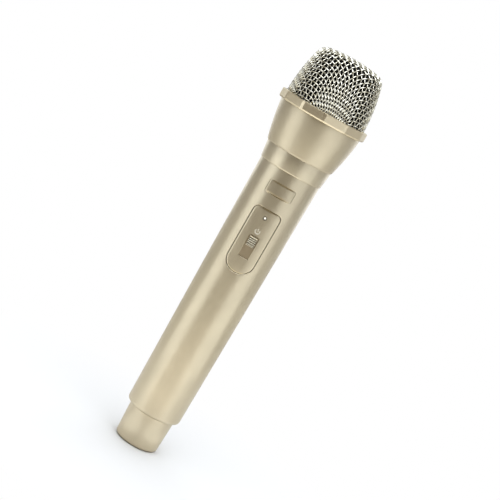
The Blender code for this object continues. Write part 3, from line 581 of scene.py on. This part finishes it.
def make_handle(paint):
    """The handle's tube, with its rolled lower lip and the two openings in its front."""
    roll = 2.1
    profile = [
        (TAIL_MOUTH, LIP_LOW),
        *arc((handle_radius(LIP_LOW + roll) - roll, LIP_LOW + roll), roll, -90, 0, 14),
        *((handle_radius(z), z) for z in np.arange(TAPER_START + 0.4, HANDLE_HIGH - 2.0, 3.1)),
        *rounded(
            [
                (handle_radius(HANDLE_HIGH - 1.5), HANDLE_HIGH - 1.5),
                (HANDLE_HIGH_RADIUS, RING_LOW - 0.03, 0.06),
                (HANDLE_HIGH_RADIUS - HANDLE_WALL, RING_LOW - 0.03, 0.2),
                (handle_radius(30) - HANDLE_WALL, 30.0),
            ],
            closed=False,
        ),
        (TAIL_BORE, 28.6),
        (TAIL_BORE, CAP_SHOULDER + 1.7),
        (TAIL_MOUTH, CAP_SHOULDER + 1.7),
    ]
    shell = turned("handle_casing", profile, paint, 192)
    panel_edge, blank_edge = rolled(0.22, 0.26, 0.35, 0.5), rolled(0.1, 0.13, 0.2, 0.34)
    combined(shell, edged_tool("opening", panel_outline, handle_face, panel_edge), "DIFFERENCE")
    combined(shell, edged_tool("opening", blank_outline, handle_face, blank_edge), "DIFFERENCE")
    placed(evened(shell), "handle", "champagne_casing", "handle_shell")


def make_plate(name, shape, low, high, sink, back_radius, edge, paint):
    """A curved plate with a rounded edge, cut from a thick sheet that follows its face. The sheet's back is
    round the handle's axis."""
    face = plate_face(sink, (low + high) / 2)
    columns = [-10.0 + 20.0 * i / 60 for i in range(61)]
    rows = []
    for z in (low - 2.0, high + 2.0):
        front = [(x, face(x, z), z) for x in columns]
        rows.append(front + [(x, -math.sqrt(back_radius**2 - x * x), z) for x in reversed(columns)])
    plate = as_object(name, lofted(rows), paint)
    return combined(plate, edged_tool("edge", shape, face, edge), "INTERSECT"), face


def make_panel(paint):
    """The switch panel with its slot, the pocket behind it for the knob's shutter, and its lamp hole."""
    edge = ((0.0, 0.45), (-0.05, 0.28), (-0.16, 0.17), (-0.4, 0.08), (-0.8, 0.0))
    sheet = (panel_outline, PANEL_LOW, PANEL_HIGH, PANEL_SINK, PANEL_BACK)
    plate, face = make_plate("switch_plate", *sheet, edge, paint)
    pocket = block("pocket", (-4.3, face(0, 140) + 0.9, 117.9), (4.3, 0.0, 148.4), None)
    combined(plate, pocket, "DIFFERENCE")
    combined(plate, edged_tool("slot", slot_outline, face, rolled(0.0, 0.03, 0.09, 0.2)), "DIFFERENCE")
    hole = turned("hole", [(0, 5), (LAMP_HOLE, 5), (LAMP_HOLE, 24), (0, 24)], None, 48, closed=False)
    hole.data.transform(LAMP_PLACE)
    combined(plate, hole, "DIFFERENCE")
    placed(evened(plate), "handle", "champagne_plate", "switch_panel")
    make_power_mark(face)
    make_lamp_tip(face)


def make_window_plate(paint):
    """The small plain plate above the switch panel."""
    edge = ((0.06, 0.4), (0.0, 0.2), (-0.1, 0.14), (-0.3, 0.06), (-0.6, 0.0))
    sheet = (blank_outline, BLANK_LOW, BLANK_HIGH, BLANK_SINK, BLANK_BACK)
    plate, _face = make_plate("window_plate", *sheet, edge, paint)
    placed(evened(plate), "handle", "champagne_plate", "display_blank_plate")


def make_power_mark(face):
    """A raised power sign above the slot: an open ring and a bar, each a low rounded bead."""
    # The sign's lighter paint is a painted highlight: it stands in for the light its raised strokes catch.
    bright = champagne_paint("painted_highlight_champagne", (0.85, 0.8, 0.66), metallic=0.4)
    angles = np.linspace(0.8, math.tau - 0.8, 33)
    ring = [(MARK_RADIUS * math.sin(a), MARK_HEIGHT + MARK_RADIUS * math.cos(a)) for a in angles]
    bar = [(0.0, MARK_HEIGHT + 0.1 + 1.6 * i / 6) for i in range(7)]
    curve = bpy.data.curves.new("power_mark", "CURVE")
    curve.dimensions = "3D"
    curve.bevel_depth = 0.27 * MM
    curve.bevel_resolution = 4
    curve.use_fill_caps = True
    for line in (ring, bar):
        spline = curve.splines.new("POLY")
        spline.points.add(len(line) - 1)
        for point, (x, z) in zip(spline.points, line):
            point.co = (x * MM, (face(x, z) + 0.02) * MM, z * MM, 1.0)
    curve.materials.append(bright)
    mark = bpy.data.objects.new("power_mark", curve)
    bpy.context.scene.collection.objects.link(mark)
    placed(mark, "handle", "champagne_plate")


def make_lamp_tip(face):
    """The light pipe, a clear rod with a domed tip, and the dark sleeve round it in the plate, its
    near-black brown a painted shadow for the shade inside the lamp's hole.
    """
    front = -face(0.0, LAMP_HEIGHT)
    back = -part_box("indicator_light_pipe")[1].y / MM
    tip = arc((0.0, front - 0.35), LAMP_RADIUS, 0, 90, 10)
    pipe = turned("lamp_tip", [(0.0, back), (LAMP_RADIUS, back), *tip], lamp_lens(), 40, closed=False)
    pipe.data.transform(LAMP_PLACE)
    placed(pipe, "handle", "lens", "indicator_light_pipe")
    sleeve = [
        (SHADOW_RING_BORE, front - 1.6),
        (SHADOW_RING_RADIUS, front - 1.6),
        (SHADOW_RING_RADIUS, front - 0.1),
        (SHADOW_RING_RADIUS - 0.1, front - 0.02),
        (SHADOW_RING_BORE, front - 0.2),
    ]
    # Painted shadow: the sleeve's near-black brown stands in for the shade inside the hole round the lamp.
    shadow_ring = turned("lamp_shadow_ring", sleeve, moulded("shadow_ring_moulding", (0.03, 0.021, 0.011), 0.55), 40)
    shadow_ring.data.transform(LAMP_PLACE)
    placed(shadow_ring, "handle", "black_moulding")


def make_knob(paint):
    """The thumb pad: a rounded block crossed by ridges, on the shutter that closes the slot behind it."""
    face = plate_face(PANEL_SINK, (PANEL_LOW + PANEL_HIGH) / 2)
    base = face(0, 140) + 1.2
    crest = face(0, KNOB_HIGH) - 0.83
    valley = crest + 0.55
    pitch = (KNOB_HIGH - KNOB_LOW - 0.3) / KNOB_RIBS
    rib = ((0.0, 0.0), (0.12, 0.0), (0.3, 0.8), (0.42, 1.0), (0.7, 1.0), (0.82, 0.8), (1.0, 0.0))
    ridges = []
    for i in range(KNOB_RIBS):
        start = KNOB_LOW + 0.15 + i * pitch
        ridges += [(start + share * pitch, valley + (crest - valley) * rise) for share, rise in rib]
    side = [(KNOB_LOW, base + 0.5), (KNOB_LOW, valley + 0.15), *ridges[1:-1]]
    side += [(KNOB_HIGH, valley + 0.15), (KNOB_HIGH, base + 0.5)]
    half = KNOB_WIDTH / 2
    edge = [(-half, 0.34), (-half + 0.1, 0.1), (-half + 0.34, 0.0)]
    edge += [(-x, sink) for x, sink in reversed(edge)]
    builder = lofted([[(x, min(y + sink, base + 0.5), z) for z, y in side] for x, sink in edge])
    bmesh.ops.remove_doubles(builder, verts=builder.verts[:], dist=1e-8)
    knob = as_object("thumb_knob", builder, paint, 20.0)
    placed(evened(knob, 20.0), "power_switch", "champagne_plate", "switch_knob")
    # The shutter takes a darker copy of the paint: painted shade for the recess at the foot of the slot.
    recess_shade = champagne_paint("recess_shade_champagne", (0.6, 0.49, 0.33))
    shutter = block("knob_shutter", (-3.9, base + 0.1, SHUTTER_LOW), (3.9, base + 0.8, SHUTTER_HIGH), recess_shade)
    placed(shutter, "power_switch", "champagne_plate", "switch_knob")


def head_radius(height):
    """The flared head: a quick flare from the neck that straightens under the collar."""
    share = (height - HEAD_LOW) / (HEAD_HIGH - HEAD_LOW)
    flare = 0.45 * share + 0.55 * (1 - (1 - share) ** 1.75)
    return HEAD_LOW_RADIUS + (HEAD_HIGH_RADIUS - HEAD_LOW_RADIUS) * flare


def make_neck(paint, head_shade_paint):
    """The neck's band and the flared head above it, with a seam between them."""
    band = [
        (NECK_BORE, RING_LOW),
        (RING_LOW_RADIUS - 0.28, RING_LOW, 0.1),
        (RING_LOW_RADIUS + 0.03, RING_LOW + 0.6, 0.3),
        (RING_HIGH_RADIUS, HEAD_LOW - 0.02, 0.05),
        (NECK_BORE, HEAD_LOW - 0.02),
    ]
    ring = turned("neck_band", rounded(band), paint)
    placed(ring, "handle", "champagne_casing", "neck_ring")
    top = HEAD_HIGH + 0.36
    heights = [HEAD_LOW + 1.4 + (HEAD_HIGH - 2.0 - HEAD_LOW) * i / 28 for i in range(29)]
    foot = [
        (NECK_BORE, HEAD_LOW),
        (HEAD_LOW_RADIUS - 0.36, HEAD_LOW, 0.04),
        (head_radius(HEAD_LOW + 0.8), HEAD_LOW + 0.8, 0.3),
        (head_radius(HEAD_LOW + 2), HEAD_LOW + 2),
    ]
    rim = [(head_radius(HEAD_HIGH - 2), HEAD_HIGH - 2), (HEAD_HIGH_RADIUS, top, 0.1), (HEAD_MOUTH, top)]
    profile = [
        *rounded(foot, closed=False)[:-1],
        *((head_radius(z), z) for z in heights),
        *rounded(rim, closed=False)[1:],
        (HEAD_MOUTH, HEAD_SEAT),
        (HEAD_SEAT_BORE, HEAD_SEAT),
        *((head_radius(z) - 2.0, z) for z in reversed(heights) if HEAD_LOW + 5 < z < HEAD_SEAT - 1),
        (NECK_BORE, HEAD_LOW + 4.9),
    ]
    # The head takes a darker copy of the paint: painted shade for the dimmer reflections high on its flare.
    head = turned("flared_casing", profile, head_shade_paint)
    placed(head, "handle", "champagne_casing", "flared_head")


def make_collar(paint):
    """The twelve-sided ring: flat faces, bevelled corners, and narrow bright chamfers round both rims."""
    directions = []
    for side in range(COLLAR_SIDES):
        middle = math.tau * (side + 0.5) / COLLAR_SIDES - math.pi / 2
        directions += [middle - COLLAR_FLAT, middle + COLLAR_FLAT]
    rows = []
    for radius, height in (
        (-2.4, COLLAR_LOW),
        (-0.5, COLLAR_LOW),
        (-0.1, COLLAR_LOW + 0.6),
        (0.0, COLLAR_LOW + 0.85),
        (0.0, COLLAR_HIGH - 0.5),
        (-0.12, COLLAR_HIGH - 0.14),
        (-0.5, COLLAR_HIGH),
    ):
        reach = COLLAR_CORNER + radius
        rows.append([(reach * math.cos(a), reach * math.sin(a), height) for a in directions])
    collar = as_object("anti_roll_ring", lofted(rows), paint, 9.0)
    bore = [
        (0, COLLAR_LOW - 1),
        (COLLAR_LOW_BORE, COLLAR_LOW - 1),
        (COLLAR_LOW_BORE, COLLAR_LOW + 1),
        (COLLAR_HIGH_BORE, COLLAR_LOW + 1),
        (COLLAR_HIGH_BORE, COLLAR_HIGH - 0.25),
        (COLLAR_HIGH_BORE + 0.25, COLLAR_HIGH + 0.01),
        (COLLAR_HIGH_BORE + 0.25, COLLAR_HIGH + 1),
        (0, COLLAR_HIGH + 1),
    ]
    combined(collar, turned("bore", bore, None, closed=False), "DIFFERENCE")
    collar.data.set_sharp_from_angle(angle=math.radians(9.0))
    placed(collar, "grille", "champagne_casing", "anti_roll_collar")


def make_tail(paint):
    """The tail cap with its rounded end and the thread that screws into the handle."""
    profile = rounded(
        [
            (0.0, 0.0),
            (CAP_LOW_RADIUS - 0.15, 0.0, 1.8),
            (CAP_HIGH_RADIUS, HANDLE_LOW),
            (CAP_HIGH_RADIUS, CAP_SHOULDER, 0.2),
            (CAP_ROOT, CAP_SHOULDER),
            (CAP_ROOT, CAP_TOP, 0.3),
            (CAP_BORE, CAP_TOP, 0.15),
            (CAP_BORE, CAP_FLOOR, 0.4),
            (0.0, CAP_FLOOR),
        ],
        closed=False,
        steps=8,
    )
    cap = turned("tail_cap", profile, paint, closed=False)
    combined(cap, thread_ridge("ridge", CAP_ROOT - 0.4, CAP_CREST, CAP_SHOULDER + 2.5, paint), "UNION")
    placed(cap, "end_cap", "champagne_casing", "end_cap")


# ---------------------------------------------------------------- woven grille


def dome_arcs(inset):
    """The grille's outline as tangent arcs from the crown down: centre, radius and turn from the axis."""
    r, z = 0.0, GRILLE_TOP
    arcs = []
    for radius, start, end in zip(DOME_RADII, DOME_TURNS, DOME_TURNS[1:]):
        centre = (r - radius * math.sin(start), z - radius * math.cos(start))
        arcs.append((centre, radius - inset, start, end))
        r, z = centre[0] + radius * math.sin(end), centre[1] + radius * math.cos(end)
    return arcs


DOME = dome_arcs(WIRE_RADIUS + WEAVE_SWING)


def onto_dome(points):
    """The nearest point of the dome to each point, and the outward normal there. The barrel's foot goes
    straight on below the last arc."""
    r, z = np.hypot(points[..., 0], points[..., 1]), points[..., 2]
    nearest = np.full(r.shape, np.inf)
    on_r, on_z, turn = r.copy(), z.copy(), np.zeros(r.shape)
    options = []
    for (centre_r, centre_z), radius, start, end in DOME:
        angle = np.clip(np.arctan2(r - centre_r, z - centre_z), start, end)
        options.append((centre_r + radius * np.sin(angle), centre_z + radius * np.cos(angle), angle))
    foot_r, foot_z = centre_r + radius * math.sin(end), centre_z + radius * math.cos(end)
    down = np.maximum((r - foot_r) * math.cos(end) - (z - foot_z) * math.sin(end), 0.0)
    options.append((foot_r + down * math.cos(end), foot_z - down * math.sin(end), np.full(r.shape, end)))
    for option_r, option_z, angle in options:
        gap = (option_r - r) ** 2 + (option_z - z) ** 2
        closer = gap < nearest
        nearest = np.where(closer, gap, nearest)
        on_r, on_z = np.where(closer, option_r, on_r), np.where(closer, option_z, on_z)
        turn = np.where(closer, angle, turn)
    across = points[..., :2] / np.maximum(r, 1e-9)[..., None]
    place = np.concatenate([across * on_r[..., None], on_z[..., None]], -1)
    normal = np.concatenate([across * np.sin(turn)[..., None], np.cos(turn)[..., None]], -1)
    return place, normal


def drape_quarter():
    """A quarter of a square net drawn over the dome: every cell keeps its four equal sides. The two straight
    wires run down the dome from its crown, and each crossing is a pitch from its two neighbours."""
    count = NET_REACH
    net = np.zeros((count, count, 3))
    net[0, 0] = (0.0, 0.0, GRILLE_TOP - WIRE_RADIUS - WEAVE_SWING)
    for k in range(1, 2 * count - 1):
        i = np.arange(max(0, k - count + 1), min(k, count - 1) + 1)
        j = k - i
        if k == 1:
            here = net[0, 0] + np.array([[0.0, WIRE_PITCH, 0.0], [WIRE_PITCH, 0.0, 0.0]])
        else:
            left, below = net[np.maximum(i - 1, 0), j], net[i, np.maximum(j - 1, 0)]
            here = left + below - net[np.maximum(i - 1, 0), np.maximum(j - 1, 0)]
            edge = (i == 0) | (j == 0)
            along = np.where((i == 0)[:, None], below, left)
            back = np.where((i == 0)[:, None], net[i, np.maximum(j - 2, 0)], net[np.maximum(i - 2, 0), j])
            here[edge] = (2 * along - back)[edge]
        for _ in range(DRAW_ROUNDS):
            here, _normal = onto_dome(here)
            sides = ((net[np.maximum(i - 1, 0), j], i > 0), (net[i, np.maximum(j - 1, 0)], j > 0))
            for anchor, free in sides:
                span = here - anchor
                size = np.maximum(np.linalg.norm(span, axis=-1, keepdims=True), 1e-9)
                here = here - span * (1 - WIRE_PITCH / size) * DRAW_PULL * free[:, None]
        net[i, j] = onto_dome(here)[0]
    return net


def full_net():
    """The four quarters together, each a quarter turn from the last."""
    quarter, last = drape_quarter(), NET_REACH - 1
    net = np.zeros((2 * last + 1, 2 * last + 1, 3))
    i, j = np.meshgrid(np.arange(NET_REACH), np.arange(NET_REACH), indexing="ij")
    x, y, z = quarter[..., 0], quarter[..., 1], quarter[..., 2]
    for c, s in ((1, 0), (0, 1), (-1, 0), (0, -1)):
        net[last + i * c - j * s, last + i * s + j * c] = np.stack([x * c - y * s, x * s + y * c, z], -1)
    return net


def pull(a, b, rest, strength, kept, only_apart=False):
    """Moves both ends of each pair towards the rest distance."""
    span = b - a
    size = np.maximum(np.linalg.norm(span, axis=-1, keepdims=True), 1e-9)
    share = 1 - rest / size
    if only_apart:
        share = np.minimum(share, 0.0)
    move = span * share * strength * kept[..., None]
    a += move
    b -= move


def relaxed(net):
    """Lets the drawn net settle: the wires resist shearing, stay fair, and lock before they bunch up."""
    alive = net[..., 2] > COLLAR_LOW - 14.0
    both_ways = ((net, alive), (net.transpose(1, 0, 2), alive.T))
    diagonals = ((np.s_[:-1, :-1], np.s_[1:, 1:]), (np.s_[:-1, 1:], np.s_[1:, :-1]))
    for _ in range(SETTLE_ROUNDS):
        for first, second in diagonals:
            kept = alive[first] & alive[second]
            pull(net[first], net[second], WIRE_PITCH * math.sqrt(2), SHEAR_PULL, kept)
            pull(net[first], net[second], LOCK_DIAGONAL, LOCK_PULL, kept, only_apart=True)
        for rows, mask in both_ways:
            kept = mask[2:] & mask[:-2] & mask[1:-1]
            rows[1:-1] += FAIR_PULL * kept[..., None] * ((rows[2:] + rows[:-2]) / 2 - rows[1:-1])
        for _ in range(3):
            for rows, mask in both_ways:
                for start in (0, 1):
                    a, b = rows[start:-1:2], rows[start + 1 :: 2]
                    pull(a, b, WIRE_PITCH, SIDE_PULL, mask[start:-1:2] & mask[start + 1 :: 2])
        net[...] = onto_dome(net)[0]
    return net, alive


def wire_runs(net, alive, first_side):
    """The centre line of every wire in one direction, swung over and under the wires it crosses."""
    runs = []
    for row in range(net.shape[0]):
        keep = np.flatnonzero(alive[row])
        if len(keep) < 4:
            continue
        knots = net[row, keep[0] : keep[-1] + 1]
        ends = np.concatenate([2 * knots[:1] - knots[1:2], knots, 2 * knots[-1:] - knots[-2:-1]])
        a, b, c, d = ends[:-3, None], ends[1:-2, None], ends[2:-1, None], ends[3:, None]
        t = (np.arange(STEPS_PER_CELL) / STEPS_PER_CELL)[None, :, None]
        square, cube = 2 * a - 5 * b + 4 * c - d, 3 * b - a - 3 * c + d
        curve = 0.5 * (2 * b + (c - a) * t + square * t**2 + cube * t**3)
        place, normal = onto_dome(curve.reshape(-1, 3))
        phase = np.arange(len(place)) / STEPS_PER_CELL + row + keep[0] + first_side
        line = place + normal * (WEAVE_SWING * np.cos(math.pi * phase))[:, None]
        above = np.flatnonzero(line[:, 2] > COLLAR_LOW + 1.7)
        if len(above) > 3:
            for run in np.split(above, np.flatnonzero(np.diff(above) > 1) + 1):
                if len(run) > 3:
                    runs.append(line[run])
    return runs


def wire_mesh(name, runs, finish):
    """Every run as a closed round wire, all in one mesh, with a sheared zone of the weave turned to face
    the front."""
    points, quads, caps = [], [], []
    angles = np.arange(WIRE_SIDES) * math.tau / WIRE_SIDES
    for run in runs:
        start = sum(len(p) for p in points)
        along = np.gradient(run, axis=0)
        along /= np.linalg.norm(along, axis=1, keepdims=True)
        side = np.cross(along, onto_dome(run)[1])
        side /= np.linalg.norm(side, axis=1, keepdims=True)
        up = np.cross(side, along)
        circle = np.cos(angles)[None, :, None] * side[:, None] + np.sin(angles)[None, :, None] * up[:, None]
        points.append((run[:, None] + WIRE_RADIUS * circle).reshape(-1, 3))
        ring = start + np.arange(len(run) * WIRE_SIDES).reshape(len(run), WIRE_SIDES)
        turned_ring = np.roll(ring, -1, axis=1)
        quads.append(np.stack([ring[:-1], turned_ring[:-1], turned_ring[1:], ring[1:]], -1).reshape(-1, 4))
        caps += [ring[0][::-1].tolist(), ring[-1].tolist()]
    turn = np.array(Matrix.Rotation(math.pi / 4 - math.pi + WEAVE_TURN, 3, "Z"))
    places = np.concatenate(points) @ turn.T * MM
    mesh = bpy.data.meshes.new(name)
    mesh.from_pydata(places.tolist(), [], np.concatenate(quads).tolist() + caps)
    builder = bmesh.new()
    builder.from_mesh(mesh)
    bpy.data.meshes.remove(mesh)
    return as_object(name, builder, finish, 70.0)


def make_grille(finish):
    """The two sets of wires that make the woven dome."""
    net, alive = relaxed(full_net())
    warp = wire_mesh("grille_warp_wires", wire_runs(net, alive, 0), finish)
    weft = wire_mesh("grille_weft_wires", wire_runs(net.transpose(1, 0, 2), alive.T, 1), finish)
    placed(warp, "grille", "woven_wire", "grille_mesh")
    placed(weft, "grille", "woven_wire", "grille_mesh")


# ---------------------------------------------------------------- finishes for the carried-over pieces


def dress(material, *names):
    """Gives CAD nodes their finish."""
    for name in names:
        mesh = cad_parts[name].data
        mesh.materials.clear()
        mesh.materials.append(material)


def dress_inner_pieces():
    """The finishes of everything inside the casing, which keeps its CAD shape."""
    plated = turned_steel()
    dress(plated, "head_spigot", "grille_thread_ring", "magnet_yoke", "pole_plate", "battery_spring")
    dress(plated, "board_screw_1", "board_screw_2", "board_screw_3", "board_screw_4")
    sheet = pressed_metal("pressed_steel", (0.62, 0.62, 0.6))
    dress(sheet, "capsule_front_grid", "radio_shield_can", "crystal", "power_switch_body")
    dress(turned_steel("nickel_magnet", (0.52, 0.53, 0.55)), "magnet")
    brass = pressed_metal("contact_brass", (0.72, 0.53, 0.24))
    dress(brass, "front_contact", "negative_strip", "cap_contact_disc")
    dress(wound_copper(), "voice_coil")
    moulding = moulded("black_moulding", (0.016, 0.016, 0.017), 0.5)
    dress(moulding, "capsule_housing", "board_chassis", "battery_tube")
    fitting = moulded("black_fitting", (0.02, 0.02, 0.021), 0.42)
    dress(fitting, "neck_ferrule", "diaphragm_frame", "switch_slider")
    dress(moulded("chip_epoxy", (0.014, 0.014, 0.015), 0.6, 5000.0, 0.01), "audio_chip")
    rubber = moulded("black_rubber", (0.012, 0.012, 0.012), 0.75, 1200.0, 0.03)
    dress(rubber, "capsule_shock_mount", "cap_seal_ring")
    sleeve = moulded("black_sleeve", (0.013, 0.013, 0.014), 0.38, 1500.0, 0.01)
    dress(sleeve, "antenna", "capsule_lead_black", "capacitor_1", "capacitor_2")
    dress(moulded("red_sleeve", (0.42, 0.02, 0.015), 0.36, 1500.0, 0.01), "capsule_lead_red")
    dress(open_foam(), "windscreen_foam")
    dress(pressed_felt(), "capsule_felt")
    dress(circuit_board(), "main_board", "terminal_board")
    dress(cell_jacket("rear_cell_jacket", "rear_cell"), "rear_cell")
    dress(cell_jacket("front_cell_jacket", "front_cell"), "front_cell")
    dress(diaphragm_film(), "diaphragm")
    dress(lamp_lens(), "indicator_lamp")


# ---------------------------------------------------------------- floor, light and camera


def make_floor():
    """A pale sheet that the microphone stands on, going to plain white away from it."""
    builder = bmesh.new()
    bmesh.ops.create_circle(builder, cap_ends=True, segments=96, radius=1.0)
    finish = Finish("pale_floor", (0.88, 0.87, 0.85), 0.8)
    distance = finish.add("ShaderNodeVectorMath", operation="LENGTH")
    finish.link(finish.place, distance.inputs[0])
    path = finish.add("ShaderNodeLightPath")
    share = finish.add("ShaderNodeMath", operation="MULTIPLY")
    finish.link(finish.ramp(distance.outputs["Value"], 0.025, 0.15), share.inputs[0])
    finish.link(path.outputs["Is Camera Ray"], share.inputs[1])
    # Rays other than the camera's see a darker, warmer sheet: painted shade that dims the floor the
    # microphone reflects.
    far = finish.ramp(distance.outputs["Value"], 0.15, 0.3)
    near = finish.tint(far, (0.75, 0.73, 0.7), (0.72, 0.69, 0.62))
    finish.tint(path.outputs["Is Camera Ray"], near, (0.88, 0.87, 0.85))
    white = finish.add("ShaderNodeEmission")
    mix = finish.add("ShaderNodeMixShader")
    finish.link(share.outputs[0], mix.inputs[0])
    finish.link(finish.shader.outputs[0], mix.inputs[1])
    finish.link(white.outputs[0], mix.inputs[2])
    finish.link(mix.outputs[0], finish.tree.nodes["Material Output"].inputs["Surface"])
    floor = as_object("floor", builder, finish.material)
    floor.location.z = -0.0001


def make_world():
    """Soft warm room light, with plain white behind everything the camera sees."""
    world = bpy.data.worlds.new("studio")
    bpy.context.scene.world = world
    world.use_nodes = True
    tree = world.node_tree
    room = tree.nodes["Background"]
    room.inputs["Color"].default_value = (1.0, 0.8, 0.56, 1.0)
    room.inputs["Strength"].default_value = 0.12
    backdrop = tree.nodes.new("ShaderNodeBackground")
    backdrop.inputs["Color"].default_value = (1.0, 1.0, 1.0, 1.0)
    path = tree.nodes.new("ShaderNodeLightPath")
    mix = tree.nodes.new("ShaderNodeMixShader")
    tree.links.new(path.outputs["Is Camera Ray"], mix.inputs[0])
    tree.links.new(room.outputs[0], mix.inputs[1])
    tree.links.new(backdrop.outputs[0], mix.inputs[2])
    tree.links.new(mix.outputs[0], tree.nodes["World Output"].inputs["Surface"])


def softbox(name, azimuth, foot, head, width, radiance, color):
    """A rectangular light leaning back from its foot to its head, facing the axis. Foot and head are
    (distance, height) in metres, and azimuth is counted from the camera, positive to its right."""
    turn = math.radians(CAMERA_AZIMUTH + azimuth)
    out = Vector((math.sin(turn), -math.cos(turn), 0.0))
    low = out * foot[0] + Vector((0.0, 0.0, foot[1]))
    high = out * head[0] + Vector((0.0, 0.0, head[1]))
    light = bpy.data.lights.new(name, "AREA")
    light.shape = "RECTANGLE"
    light.size, light.size_y = width, (high - low).length
    light.energy = radiance * math.pi * light.size * light.size_y
    light.color = color
    up = (high - low).normalized()
    across = Vector((0.0, 0.0, 1.0)).cross(out)
    made = bpy.data.objects.new(name, light)
    bpy.context.scene.collection.objects.link(made)
    facing = Matrix((across, up, across.cross(up))).transposed()
    made.matrix_world = Matrix.Translation((low + high) / 2) @ facing.to_4x4()
    made.visible_camera = False


def make_lights():
    """Softboxes to each side, behind and above, and low reflectors that brighten the tail."""
    daylight, lamp = (0.91, 0.975, 1.06), (1.0, 0.88, 0.7)
    softbox("left_low_softbox", -59.0, (0.18, 0.005), (0.25, 0.1), 0.17, 0.78, daylight)
    softbox("left_high_softbox", -59.0, (0.25, 0.1), (0.8, 0.85), 0.2, 1.15, daylight)
    softbox("right_low_softbox", 57.0, (0.18, 0.005), (0.25, 0.1), 0.22, 0.7, daylight)
    softbox("right_high_softbox", 54.0, (0.25, 0.1), (0.8, 0.85), 0.32, 0.8, daylight)
    softbox("left_fill", -112.0, (0.7, 0.005), (0.7, 0.8), 0.6, 0.25, daylight)
    softbox("right_fill", 112.0, (0.7, 0.005), (0.7, 0.8), 0.6, 0.41, daylight)
    softbox("back_softbox", 180.0, (0.9, 0.005), (0.9, 1.2), 1.9, 1.3, daylight)
    softbox("top_softbox", 180.0, (0.3, 0.85), (-0.65, 0.8), 0.6, 4.2, daylight)
    softbox("left_reflector", -50.0, (0.018, 0.004), (0.17, 0.006), 0.044, 0.3, daylight)
    softbox("right_reflector", 48.0, (0.018, 0.004), (0.17, 0.006), 0.044, 0.26, daylight)
    softbox("table_reflector", 0.0, (0.06, 0.004), (0.3, 0.006), 0.24, 0.29, lamp)


def make_camera():
    """The camera at the photograph's angle, rolled so that the upright microphone leans in the frame."""
    turn, lift = math.radians(CAMERA_AZIMUTH), math.radians(CAMERA_ELEVATION)
    back = Vector((math.sin(turn) * math.cos(lift), -math.cos(turn) * math.cos(lift), math.sin(lift)))
    right = Vector((math.cos(turn), math.sin(turn), 0.0))
    camera = bpy.data.objects.new("camera", bpy.data.cameras.new("camera"))
    bpy.context.scene.collection.objects.link(camera)
    camera.data.lens = CAMERA_LENS
    camera.data.sensor_width = 36.0
    camera.location = Vector((0.0, 0.0, AIM_HEIGHT)) + right * AIM_OFFSET + back * CAMERA_DISTANCE
    camera.rotation_mode = "QUATERNION"
    roll = Quaternion((0.0, 0.0, 1.0), math.radians(CAMERA_ROLL))
    camera.rotation_quaternion = (-back).to_track_quat("-Z", "Y") @ roll
    bpy.context.scene.camera = camera


paint = champagne_paint("champagne_paint")
make_handle(paint)
make_panel(paint)
make_window_plate(paint)
make_knob(champagne_paint("pale_champagne", (0.51, 0.46, 0.35), roughness=0.4))
# The head's paint is a darker copy of the casing paint: painted shade.
make_neck(paint, champagne_paint("head_shade_champagne", (0.655, 0.567, 0.401), roughness=0.385))
# The collar's paint is a lighter copy of the casing paint: painted light that brightens its facets.
make_collar(champagne_paint("painted_light_champagne", (0.87, 0.75, 0.52), edge=0.45))
make_tail(paint)
make_grille(wire_plate())
dress_inner_pieces()
make_floor()
make_world()
make_lights()
make_camera()
bpy.context.scene.view_settings.view_transform = "Standard"
